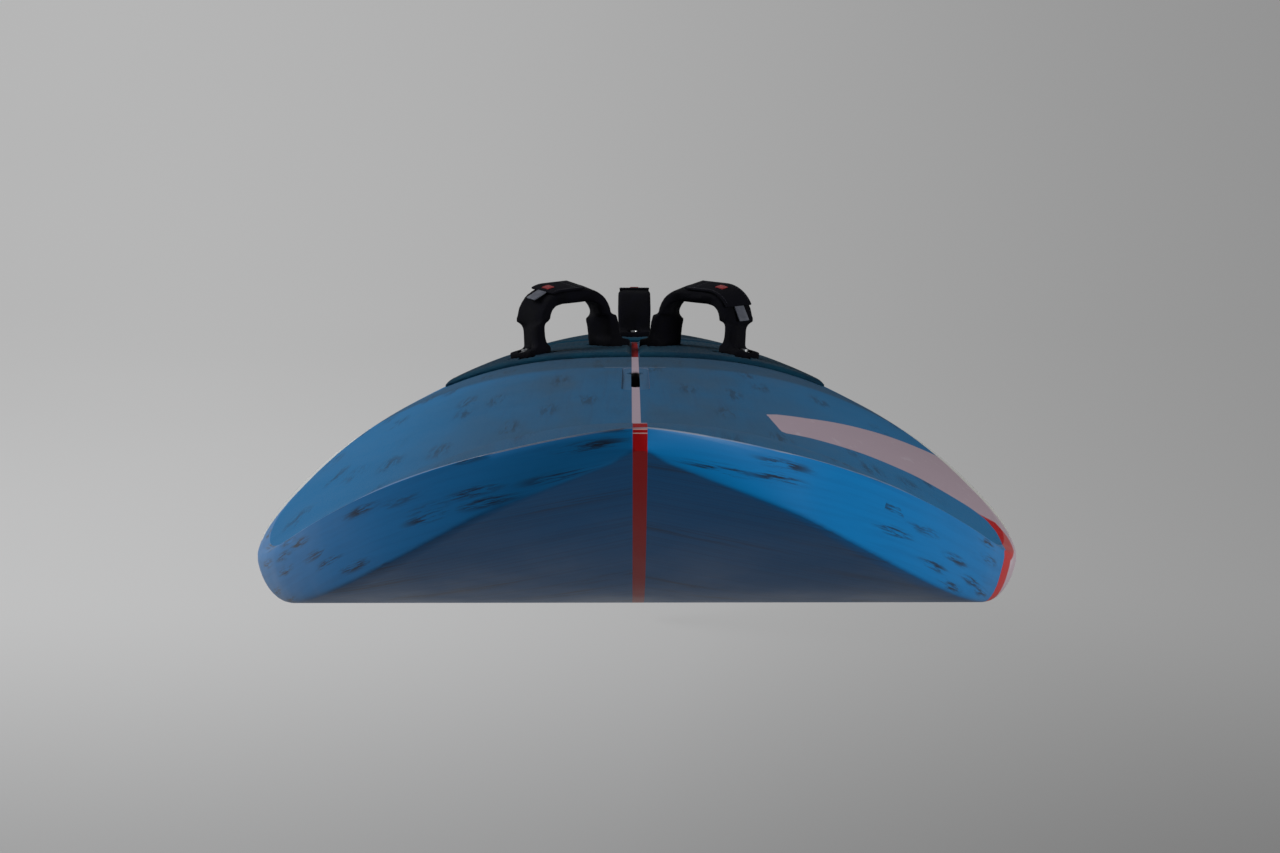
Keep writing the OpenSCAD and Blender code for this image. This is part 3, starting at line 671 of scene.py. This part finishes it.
rail_lay = paint.node("ShaderNodeUVMap", uv_map="rail").outputs[0]
rail_grain, rail_dark = veneer(paint, rail_lay, 0.012, 0.085)
rail = paint.mix(paint.math("MULTIPLY", paint.ramp(rail_grain, 0.40, 0.72), 0.30), RAIL_BLUE,
                 tone(0, 96, 158))
rail = paint.mix(paint.math("MULTIPLY", rail_dark, 0.9), rail, KNOT)
# The bottom: its grain and knots over a blue darkened as painted shade.
low_grain, low_dark = veneer(paint, unrolled, 0.050, 0.11)
base = paint.mix(paint.math("MULTIPLY", paint.ramp(low_grain, 0.42, 0.70), 0.30), SHADED_BOTTOM_BLUE,
                 tone(8, 52, 88))
base = paint.mix(paint.math("MULTIPLY", low_dark, 0.5), base, tone(34, 34, 40))
smooth = paint.mix(stripe_share(paint), paint.mix(shaded_bottom_share, rail, base), RED)

colour = paint.mix(gritty, smooth, grit_colour)
# A thin pale line along the crease near the nose: a painted highlight on the sharp edge.
line = paint.ramp(paint.math("ABSOLUTE", paint.attribute("grit")), 0.0004, 0.0011, 0.75, 0)
line = paint.math("MULTIPLY", line, paint.ramp(paint.axis(1), -0.90, -0.78, 1, 0))
line = paint.math("MULTIPLY", line, paint.ramp(paint.noise(14.0, 2.0), 0.36, 0.55, 0.35, 1))
colour = paint.mix(line, colour, tone(158, 164, 178))

band_at = paint.attribute("band")
smear = paint.ramp(paint.noise(60.0, 3.0, 0.6, (1, 0.3, 1)), 0.60, 0.72, 0, 0.4)
band_colour = paint.mix(smear, PALE, tone(214, 204, 212))
red_edge = paint.math("MULTIPLY", paint.ramp(band_at, 0.0105, 0.0120, 1, 0),
                      paint.ramp(paint.axis(1), -0.560, -0.545, 1, 0))
band_colour = paint.mix(red_edge, band_colour, tone(196, 34, 36))
colour = paint.mix(paint.ramp(band_at, -0.0003, 0.0003), colour, band_colour)
for height in (0.2412, 0.2386):
    near = paint.ramp(paint.math("ABSOLUTE", paint.math("SUBTRACT", paint.axis(2), height)),
                      0.0002, 0.0005, 1, 0)
    near = paint.math("MULTIPLY", near, stripe_share(paint))
    near = paint.math("MULTIPLY", near, paint.ramp(paint.axis(1), -1.149, -1.146, 0.7, 0))
    colour = paint.mix(near, colour, tone(214, 190, 190))

smudge = paint.noise(7.0, 4.0, 0.6)
gloss = paint.ramp(smudge, 0.3, 0.7, 0.34, 0.46)
rough = paint.math("ADD", gloss, paint.math("MULTIPLY", gritty, 0.42))
bumps = paint.bump(paint.math("MULTIPLY", sand, gritty), 0.55, 0.0006)
bumps = paint.bump(grain, 0.12, 0.0004, bumps)
paint.set(Base_Color=colour, Roughness=rough, Normal=bumps)
dress(hull, paint.material)

# %% Paint of the mast track box
track_paint = Look("track_box_paint", Roughness=0.72, IOR=1.5)
grain, dark = veneer(track_paint, track_paint.place, 0.040, 0.16)
colour, sand = grit_finish(track_paint, grain, dark)
deep = track_paint.ramp(track_paint.axis(2), 0.1228, 0.1242)
colour = track_paint.mix(deep, tone(16, 17, 19), colour)
track_paint.set(Base_Color=colour, Normal=track_paint.bump(sand, 0.5, 0.0005))
dress_nodes(track_paint.material, "mast_track_box")
print("paint ready")

# %% [markdown]
# ## Places on the deck
# Each strap stands square to the curved deck under its two feet. These frames repeat that: a
# point on the deck, its normal as Z, and X turned to the line through the feet.

# %% Frames of the straps
FOOT_REACH, LEG_HALF, CORNER, LEG_START = 0.080, 0.062, 0.038, 0.014
STRAPS = {"right": dict(x=0.094, along=1.500, turn=-38, height=0.091, lean=14, wrap=58),
          "left": dict(x=0.094, along=1.500, turn=-38, height=0.091, lean=14, wrap=22),
          "rear": dict(x=0.0, along=1.880, turn=90, height=0.074, lean=0, wrap=58)}
MIRROR = Matrix.Diagonal((-1, 1, 1, 1))


def frame_on(point, normal, degrees):
    azimuth = math.atan2(normal.y, normal.x)
    return (Matrix.Translation(point) @ Matrix.Rotation(azimuth, 4, "Z")
            @ Matrix.Rotation(math.acos(normal.z), 4, "Y")
            @ Matrix.Rotation(math.radians(degrees) - azimuth, 4, "Z"))


def foot_place(strap, end):
    angle = math.radians(strap["turn"])
    return (strap["x"] + end * FOOT_REACH * math.cos(angle),
            strap["along"] + end * FOOT_REACH * math.sin(angle))


def foot_frame(strap, end):
    x, along = foot_place(strap, end)
    point = Vector((x, along - MIDDLE, float(deck_height(x, np.float64(along)))))
    made = frame_on(point, deck_normal(x, np.float64(along)), strap["turn"])
    return made @ Matrix.Rotation(math.pi if end < 0 else 0, 4, "Z")


def strap_frame(strap):
    ends = [foot_place(strap, end) for end in (-1, 1)]
    normal = sum((deck_normal(x, np.float64(a)) for x, a in ends), Vector()).normalized()
    z = sum(float(deck_height(x, np.float64(a))) for x, a in ends) / 2
    return frame_on(Vector((strap["x"], strap["along"] - MIDDLE, z)), normal, strap["turn"])


print("right strap stands at", tuple(round(v, 4) for v in strap_frame(STRAPS["right"]).translation))

# %% [markdown]
# ## Deck pads
# The pads are soft foam sheets, hot-pressed with crossing grooves that leave diamonds for grip, and
# bevelled at their edges. The grooves are real shape here, not only a bump: a dense grid is laid
# on the deck, pressed down along two families of lines, and given its thickness by an extrude.

# %% Grooved foam pads
PAD_THICK, PAD_SEAT, GROOVE_DEPTH = 0.007, 0.0006, 0.0016
GROOVE_PITCH, GROOVE_HALF, GROOVE_ANGLE = 0.0150, 0.0021, math.radians(32)


def groove(x, y):
    """0 on top of a diamond, 1 in the bottom of a groove."""
    deepest = np.zeros_like(x)
    for sign in (-1, 1):
        across = (x * math.cos(GROOVE_ANGLE) + sign * y * math.sin(GROOVE_ANGLE)) / GROOVE_PITCH
        away = np.abs(across - np.rint(across)) * GROOVE_PITCH
        deepest = np.maximum(deepest, clamp(1 - away / GROOVE_HALF, 0, 1))
    return deepest * deepest * (3 - 2 * deepest)


def box_cutter(place, low, high):
    fresh()
    bpy.ops.mesh.primitive_cube_add(size=1)
    made = bpy.context.object
    p = points_of(made)
    p = np.where(p > 0, np.array(high), np.array(low))
    set_points(made, np.array([place @ Vector(v) for v in p]))
    return made


def foot_cutters(strap, ends=(-1, 1)):
    return [box_cutter(foot_frame(strap, end), (-0.038, -0.029, -0.006), (0.017, 0.029, 0.024))
            for end in ends]


def pad(name, x_cells, along_cells, place, edge_of, cutters):
    fresh()
    bpy.ops.mesh.primitive_grid_add(x_subdivisions=x_cells, y_subdivisions=along_cells, size=2)
    made = bpy.context.object
    flat = (points_of(made) + 1) / 2
    x, along = place(flat[:, 0], flat[:, 1])
    ground = np.stack([x, along - MIDDLE, deck_height(x, along) + PAD_SEAT], 1)
    set_points(made, ground)
    in_edit(made, lambda: bpy.ops.mesh.extrude_region())
    p = points_of(made)
    top = np.array([v.select for v in made.data.vertices])
    x, along = p[:, 0], p[:, 1] + MIDDLE
    edge = edge_of(x, along)
    bevel = clamp(edge / 0.007, 0, 1)
    height = PAD_THICK * (0.45 + 0.55 * np.sin(bevel * math.pi / 2))
    height = height - GROOVE_DEPTH * groove(x, p[:, 1]) * clamp(edge / 0.012, 0, 1)
    p[:, 2] = np.where(top, deck_height(x, along) + PAD_SEAT + height, p[:, 2])
    set_points(made, p)
    in_edit(made, lambda: bpy.ops.mesh.normals_make_consistent(inside=False))
    print(name, "faces before its pockets:", len(made.data.polygons))
    cut(made, cutters, "EXACT")
    print(name, "faces:", len(made.data.polygons))
    return finish_mesh(made, name, 50)


PAD_INNER, FRONT_PAD, REAR_PAD = 0.0065, (1.380, 1.690), (1.741, 2.238)


def front_outer(along):
    return np.minimum(0.272, half_width(along) - 0.072)


def rear_outer(along):
    return np.minimum(0.190, half_width(along) - 0.062)


def front_place(u, v):
    start = FRONT_PAD[0] + 0.022 * u ** 3
    along = start + (FRONT_PAD[1] - start) * v
    return PAD_INNER + (front_outer(along) - PAD_INNER) * u, along


def front_edge(x, along):
    outer = front_outer(along)
    start = FRONT_PAD[0] + 0.022 * ((x - PAD_INNER) / (outer - PAD_INNER)) ** 3
    return np.minimum.reduce([x - PAD_INNER, outer - x, along - start, FRONT_PAD[1] - along])


def rear_place(u, v):
    along = REAR_PAD[0] + (REAR_PAD[1] - REAR_PAD[0]) * v
    return rear_outer(along) * (2 * u - 1), along


def rear_edge(x, along):
    reach = rear_outer(along) - np.abs(x)
    return np.minimum.reduce([reach, along - REAR_PAD[0], REAR_PAD[1] - along])


def grown(node, grow):
    """Cutter round a plug strip, through the whole pad."""
    made = strip_cutter(node, grow)
    p = points_of(made)
    p[:, 2] += np.where(p[:, 2] > p[:, 2].mean(), 0.016, 0)
    set_points(made, p)
    return made


pads = [pad("pad_right", 124, 146, front_place, front_edge, foot_cutters(STRAPS["right"])
            + [grown("plugs_front_right_" + k, 0.0015) for k in ("inner", "outer")]),
        pad("pad_tail", 150, 190, rear_place, rear_edge, foot_cutters(STRAPS["rear"])
            + [grown("plugs_rear_" + k, 0.0015) for k in ("fore", "aft")]
            + [well_cutter(y, 0.012, 0.05) for y in FIN_BOLTS])]
left = pads[0].copy()
left.data = pads[0].data.copy()
bpy.context.scene.collection.objects.link(left)
left.data.transform(MIRROR)
left.name = left.data.name = "pad_left"
in_edit(left, lambda: bpy.ops.mesh.flip_normals())
pads.append(left)

foam = Look("pressed_deck_foam", IOR=1.45, Specular_IOR_Level=0.2, Sheen_Weight=0.02)
cells = foam.noise(1400.0, 2.0, 0.7)
wear_and_painted_reflection = foam.noise(11.0, 4.0, 0.6)
colour = foam.mix(foam.ramp(wear_and_painted_reflection, 0.35, 0.68), tone(0, 46, 68), tone(4, 62, 84))
colour = foam.mix(foam.ramp(cells, 0.55, 0.75, 0, 0.25), colour, tone(30, 84, 104))
foam.set(Base_Color=colour, Roughness=foam.ramp(wear_and_painted_reflection, 0.3, 0.7, 0.72, 0.9),
         Normal=foam.bump(cells, 0.5, 0.0005))
for obj, node in zip(pads, ("pad_front_right", "pad_rear", "pad_front_left")):
    dress(obj, foam.material)
    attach(obj, "board")
    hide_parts(node)
print("pads:", [o.name for o in pads])

# %% [markdown]
# ## Strap covers
# A footstrap's cover is a padded neoprene sleeve. A sleeve cut from foam is never as crisp as a
# swept solid: it swells between its seams and creases inside its bends. A short cloth simulation
# with a little air pressure gives that. The solid is copied, remeshed evenly, shrunk a little,
# blown up again, and held back to the room that the solid has, so the flap still lies on it.

# %% Swell a padded cover
def sleeve(node, name, shrink=0.0016, most=0.0034):
    made = merged_copy(node)
    rest = BVHTree.FromPolygons([v.co.copy() for v in made.data.vertices],
                                [tuple(p.vertices) for p in made.data.polygons])
    apply_modifier(made, "REMESH", mode="VOXEL", voxel_size=0.0038)
    in_edit(made, lambda: bpy.ops.mesh.vertices_smooth(factor=0.5, repeat=3))
    normals = np.empty(len(made.data.vertices) * 3)
    made.data.vertices.foreach_get("normal", normals)
    start = points_of(made) - normals.reshape(-1, 3) * shrink
    set_points(made, start)
    only(made)
    cloth = made.modifiers.new("cloth", "CLOTH")
    cloth.settings.quality = 5
    cloth.settings.use_pressure = True
    cloth.settings.uniform_pressure_force = 5.0
    cloth.settings.effector_weights.gravity = 0
    cloth.settings.tension_stiffness = cloth.settings.compression_stiffness = 8
    cloth.settings.bending_stiffness = 0.6
    cloth.point_cache.frame_end = 20
    for number in range(1, 21):
        bpy.context.scene.frame_set(number)
    bpy.ops.object.modifier_apply(modifier="cloth")
    bpy.context.scene.frame_set(1)
    moved = points_of(made) - start
    length = np.linalg.norm(moved, axis=1, keepdims=True)
    set_points(made, start + moved * np.minimum(1, most / np.maximum(length, 1e-9)))
    p = points_of(made)
    held = 0
    for k, point in enumerate(p):
        near, normal, _, _ = rest.find_nearest(Vector(point))
        if (Vector(point) - near).dot(normal) > -0.0001:
            p[k] = near - normal * 0.0001
            held += 1
    set_points(made, p)
    apply_modifier(made, "SUBSURF", levels=1, render_levels=1)
    print(name, len(p), "points, held back:", held)
    return finish_mesh(made, name, 180)


neoprene = Look("padded_neoprene", IOR=1.45, Specular_IOR_Level=0.12)
knit = neoprene.node("ShaderNodeTexVoronoi", {"Vector": neoprene.place, "Scale": 1300.0}).outputs[0]
lint = neoprene.noise(40.0, 4.0, 0.6)
colour = neoprene.mix(neoprene.ramp(lint, 0.35, 0.7), tone(5, 5, 10), tone(13, 13, 22))
colour = neoprene.mix(neoprene.ramp(knit, 0.2, 0.6, 0, 0.35), colour, tone(10, 10, 15))
neoprene.set(Base_Color=colour, Roughness=neoprene.ramp(lint, 0.3, 0.7, 0.78, 0.94),
             Normal=neoprene.bump(knit, 0.45, 0.0004))
covers = {}
for key in ("right", "rear", "left"):
    cover = sleeve("strap_" + key + "_cover", "cover_" + key)
    dress(cover, neoprene.material)
    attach(cover, "board")
    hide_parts("strap_" + key + "_cover")
    covers[key] = cover

# %% [markdown]
# ## Flaps, tabs, tags and webbing
# The closing flap is sewn down at one end and held by hooks and loops over the outer corner; a
# moulded tab at its loose end is what the fingers pull. These are flat goods, so a remesh would
# eat them. The solid's own outline is copied, and its edges are rounded by a bevel. The grey
# tab is rubber, the tag and the webbing are woven.

# %% Flat goods with soft edges
def flat_piece(node, name, material, round_by, body):
    made = merged_copy(node)
    in_edit(made, lambda: bpy.ops.mesh.dissolve_limited(angle_limit=math.radians(1)))
    apply_modifier(made, "BEVEL", width=round_by, segments=3, limit_method="ANGLE",
                   angle_limit=math.radians(35), use_clamp_overlap=True)
    finish_mesh(made, name, 40)
    dress(made, material)
    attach(made, body)
    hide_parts(node)
    return made


def woven(name, light, dark, pitch, rough=0.85):
    """Plain weave: two crossed waves set which thread lies on top."""
    look = Look(name, Roughness=rough, Sheen_Weight=0.15, Sheen_Roughness=0.5)
    waves = [look.node("ShaderNodeTexWave", {"Vector": look.place, "Scale": 0.31 / pitch,
                                             "Distortion": 0.4}, bands_direction=d).outputs["Fac"]
             for d in ("X", "Y", "Z")]
    crossed = look.math("ADD", waves[0], waves[1])
    cloth = look.math("MULTIPLY", crossed, look.math("ADD", waves[2], 0.5))
    fibre = look.noise(220.0, 3.0, 0.7)
    colour = look.mix(look.ramp(cloth, 0.3, 1.5), dark, light)
    colour = look.mix(look.math("MULTIPLY", fibre, 0.3), colour, dark)
    look.set(Base_Color=colour, Normal=look.bump(cloth, 0.5, 0.0004))
    return look.material


fuzz = Look("hook_and_loop_cloth", Roughness=0.95, Specular_IOR_Level=0.12)
loops = fuzz.noise(900.0, 3.0, 0.8, warp=1.2)
colour = fuzz.mix(fuzz.ramp(loops, 0.35, 0.65), tone(6, 6, 11), tone(18, 18, 27))
fuzz.set(Base_Color=colour, Normal=fuzz.bump(loops, 0.6, 0.0005))
webbing_cloth = woven("woven_webbing", tone(64, 64, 68), tone(30, 30, 33), 0.0009)
tag_cloth = woven("red_woven_tag", tone(190, 26, 32), tone(120, 10, 16), 0.0006)
rubber = Look("moulded_grey_tab", Roughness=0.55, IOR=1.5)
haze = rubber.noise(90.0, 4.0, 0.6)
grip = rubber.noise(1100.0, 2.0, 0.6)
colour = rubber.mix(rubber.ramp(haze, 0.3, 0.7), tone(84, 87, 98), tone(108, 111, 122))
rubber.set(Base_Color=colour, Normal=rubber.bump(grip, 0.35, 0.0003))
FLAT_GOODS = [("flap", "flap_sheet", fuzz.material, "flap_fabric", 0.0008, "flap_"),
              ("tab", "pull_tab", rubber.material, "tab_grip", 0.0006, "flap_"),
              ("tag", "red_tag", tag_cloth, "tag_red", 0.0003, "flap_"),
              ("webbing", "strap_webbing", webbing_cloth, "webbing", 0.0006, "board")]
for key in STRAPS:
    for part, name, material, slot, round_by, body in FLAT_GOODS:
        flat_piece(f"strap_{key}_{part}", f"{name}_{key}", material, round_by,
                   body + key if body == "flap_" else body)
print("flat goods made for", list(STRAPS))

# %% [markdown]
# ## Stitches
# Sewing holds a strap together, and a thread that lies in relief catches the light. One small
# stitch is modelled, then copied along each seam of the flap: down both its edges, and in two
# rows across the end that is sewn to the cover. All of them ride with the flap.

# %% One stitch, copied along seams
def one_stitch():
    fresh()
    bpy.ops.mesh.primitive_uv_sphere_add(segments=6, ring_count=5, radius=0.00042)
    made = bpy.context.object
    p = points_of(made)
    p[:, 0] *= 3.0
    p[:, 2] *= 0.75
    set_points(made, p)
    return made


BEND, TOP = CORNER * math.pi / 2, 2 * (LEG_HALF - CORNER)


def leg_length(strap):
    return strap["height"] - CORNER - LEG_START


def path_length(strap):
    return 2 * leg_length(strap) + math.pi * CORNER + TOP


def path_point(strap, share, across, out):
    """A point and heading on the strap's arch. share runs 0 at the inner foot to 1 at the outer
    one; across and out are off the middle line, in the section's own lean."""
    h, leg = strap["height"], leg_length(strap)
    s = share * (2 * leg + 2 * BEND + TOP)
    lean = math.radians(strap["lean"])
    v = across * math.cos(lean) - out * math.sin(lean)
    r = across * math.sin(lean) + out * math.cos(lean)
    if s < leg:
        return Vector((-LEG_HALF - r, v, LEG_START + s)), Vector((0, 0, 1))
    s -= leg
    if s < BEND:
        sine, cosine = math.sin(s / CORNER), math.cos(s / CORNER)
        x = CORNER - LEG_HALF - (CORNER + r) * cosine
        return Vector((x, v, h - CORNER + (CORNER + r) * sine)), Vector((sine, 0, cosine))
    s -= BEND
    if s < TOP:
        return Vector((CORNER - LEG_HALF + s, v, h + r)), Vector((1, 0, 0))
    s -= TOP
    if s < BEND:
        sine, cosine = math.sin(s / CORNER), math.cos(s / CORNER)
        x = LEG_HALF - CORNER + (CORNER + r) * sine
        return Vector((x, v, h - CORNER + (CORNER + r) * cosine)), Vector((cosine, 0, -sine))
    s -= BEND
    return Vector((LEG_HALF + r, v, h - CORNER - s)), Vector((0, 0, -1))


def seam(name, places, body, mirror, frame_matrix, material):
    """Joins a copy of the stitch at each place: (point, heading, up) in the strap's frame."""
    stitch = one_stitch()
    base = points_of(stitch)
    faces = [tuple(p.vertices) for p in stitch.data.polygons]
    bpy.data.objects.remove(stitch)
    points, polygons = [], []
    for point, heading, up in places:
        side = up.cross(heading).normalized()
        axes = np.array([heading, side, up])
        start = len(points)
        local = base @ axes + np.array(point)
        points += [frame_matrix @ Vector(q) for q in local]
        polygons += [tuple(start + k for k in f) for f in faces]
    mesh = bpy.data.meshes.new(name)
    mesh.from_pydata([tuple(p) for p in points], [], polygons)
    made = bpy.data.objects.new(name, mesh)
    bpy.context.scene.collection.objects.link(made)
    if mirror:
        made.data.transform(MIRROR)
        made.data.flip_normals()
    finish_mesh(made, name, 60)
    dress(made, material)
    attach(made, body)
    return made


thread = Look("waxed_thread", Roughness=0.6, Sheen_Weight=0.1, Sheen_Roughness=0.5)
twist = thread.noise(2600.0, 2.0, 0.5)
thread.set(Base_Color=thread.mix(twist, tone(34, 35, 44), tone(70, 72, 84)),
           Normal=thread.bump(twist, 0.5, 0.0002))


def surface_axes(strap, share, across, out):
    """A place on the flap: point, heading along it, direction out of it, direction across it."""
    point, heading = path_point(strap, share, across, out)
    further, _ = path_point(strap, share, across, out + 0.01)
    wider, _ = path_point(strap, share, across + 0.01, out)
    return point, heading, (further - point).normalized(), (wider - point).normalized()


def sewn_along(strap, first, last, across, out, pitch=0.0032):
    """Stitch places down an edge, between two shares of the path."""
    count = int((last - first) * path_length(strap) / pitch)
    return [surface_axes(strap, first + (last - first) * k / count, across, out)[:3]
            for k in range(count + 1)]


FLAP_OUT, FLAP_EDGE, ROW_STEP = 0.0104 + 0.003 + 0.00005, 0.025 - 0.0035, 0.010
ROW_STITCHES, SEWN_BACK, SEAM_IN = 11, 0.020, 0.006
for key, strap in STRAPS.items():
    place, mirror = strap_frame(strap), key == "left"
    total = path_length(strap)
    top_start = (leg_length(strap) + BEND) / total
    first = top_start + (TOP / 2 - SEWN_BACK + SEAM_IN) / total
    last = top_start + (TOP + CORNER * math.radians(strap["wrap"]) - SEAM_IN) / total
    stitches = []
    for across in (-FLAP_EDGE, FLAP_EDGE):
        stitches += sewn_along(strap, first, last, across, FLAP_OUT)
    for back in (0.0, ROW_STEP):
        for k in range(ROW_STITCHES):
            across = FLAP_EDGE * (2 * k / (ROW_STITCHES - 1) - 1)
            point, _, out, side = surface_axes(strap, first + back / total, across, FLAP_OUT)
            stitches.append((point, side, out))
    seam("flap_stitches_" + key, stitches, "flap_" + key, mirror, place,
         thread.material)
print("stitches sewn")

# %% [markdown]
# ## Hard pieces
# Screws, washers, plugs, boxes, vent and fin have the right shape in the frame already, so each
# keeps its solid and only gets its finish: brushed steel, moulded plastic, laminate, rubber.

# %% Finishes of the hard pieces
steel = Look("brushed_steel", Metallic=1.0)
brush = steel.noise(300.0, 3.0, 0.6, (1, 1, 9))
spots = steel.noise(60.0, 3.0, 0.6)
colour = steel.mix(steel.ramp(spots, 0.35, 0.7), tone(196, 198, 200), tone(168, 170, 172))
steel.set(Base_Color=colour, Roughness=steel.ramp(brush, 0.3, 0.7, 0.26, 0.44),
          Normal=steel.bump(brush, 0.15, 0.0002))
dress_nodes(steel.material, "fin_bolts", "fin_washers",
            *[f"strap_{k}_{p}" for k in STRAPS for p in ("washers", "screws")])

moulded = Look("moulded_black_plastic", IOR=1.5)
skin = moulded.noise(800.0, 2.0, 0.6)
dust = moulded.noise(24.0, 4.0, 0.65)
colour = moulded.mix(moulded.ramp(dust, 0.4, 0.75), tone(22, 23, 26), tone(44, 45, 48))
moulded.set(Base_Color=colour, Roughness=moulded.ramp(dust, 0.3, 0.7, 0.45, 0.65),
            Normal=moulded.bump(skin, 0.3, 0.0003))
dress_nodes(moulded.material, "fin_box", "vent_housing", *STRIPS,
            *[f"strap_{k}_plates" for k in STRAPS])

red_plastic = Look("red_vent_plastic", IOR=1.5)
dull = red_plastic.noise(120.0, 4.0, 0.6)
red_plastic.set(Base_Color=red_plastic.mix(dull, tone(158, 22, 24), tone(184, 44, 40)),
                Roughness=red_plastic.ramp(dull, 0.3, 0.7, 0.34, 0.55),
                Normal=red_plastic.bump(dull, 0.2, 0.0003))
dress_nodes(red_plastic.material, "vent_screw")

seal = Look("black_seal_rubber", IOR=1.5)
bloom = seal.noise(200.0, 4.0, 0.6)
seal.set(Base_Color=seal.mix(bloom, tone(16, 16, 17), tone(34, 34, 36)),
         Roughness=seal.ramp(bloom, 0.3, 0.7, 0.5, 0.75), Normal=seal.bump(bloom, 0.2, 0.0002))
dress_nodes(seal.material, "vent_seal")

laminate = Look("fin_laminate", IOR=1.55, Coat_Weight=0.4, Coat_Roughness=0.12)
weave_x, weave_z = (laminate.node("ShaderNodeTexWave", {"Vector": laminate.place, "Scale": 130.0},
                                  bands_direction=d).outputs["Fac"] for d in ("Y", "Z"))
cloth = laminate.math("MULTIPLY", weave_x, weave_z)
scuff = laminate.noise(14.0, 5.0, 0.65)
colour = laminate.mix(laminate.ramp(cloth, 0.1, 0.7), tone(17, 19, 22), tone(32, 36, 41))
colour = laminate.mix(laminate.ramp(scuff, 0.58, 0.72, 0, 0.4), colour, tone(74, 78, 82))
laminate.set(Base_Color=colour, Roughness=laminate.ramp(scuff, 0.35, 0.7, 0.18, 0.34),
             Normal=laminate.bump(cloth, 0.12, 0.0003))
dress_nodes(laminate.material, "fin")

FOAMS = [("expanded_bead_foam", (226, 226, 220), (242, 242, 238), 240.0, ("foam_core",)),
         ("dense_insert_foam", (186, 164, 112), (206, 186, 134), 700.0,
          ("mast_track_block", "fin_box_block"))]
for name, low, high, cell, nodes in FOAMS:
    core = Look(name, Roughness=0.95)
    beads = core.node("ShaderNodeTexVoronoi", {"Vector": core.place, "Scale": cell}).outputs[0]
    core.set(Base_Color=core.mix(beads, tone(*high), tone(*low)),
             Normal=core.bump(beads, 0.5, 0.0006))
    dress_nodes(core.material, *nodes)
print("every node has a finish")
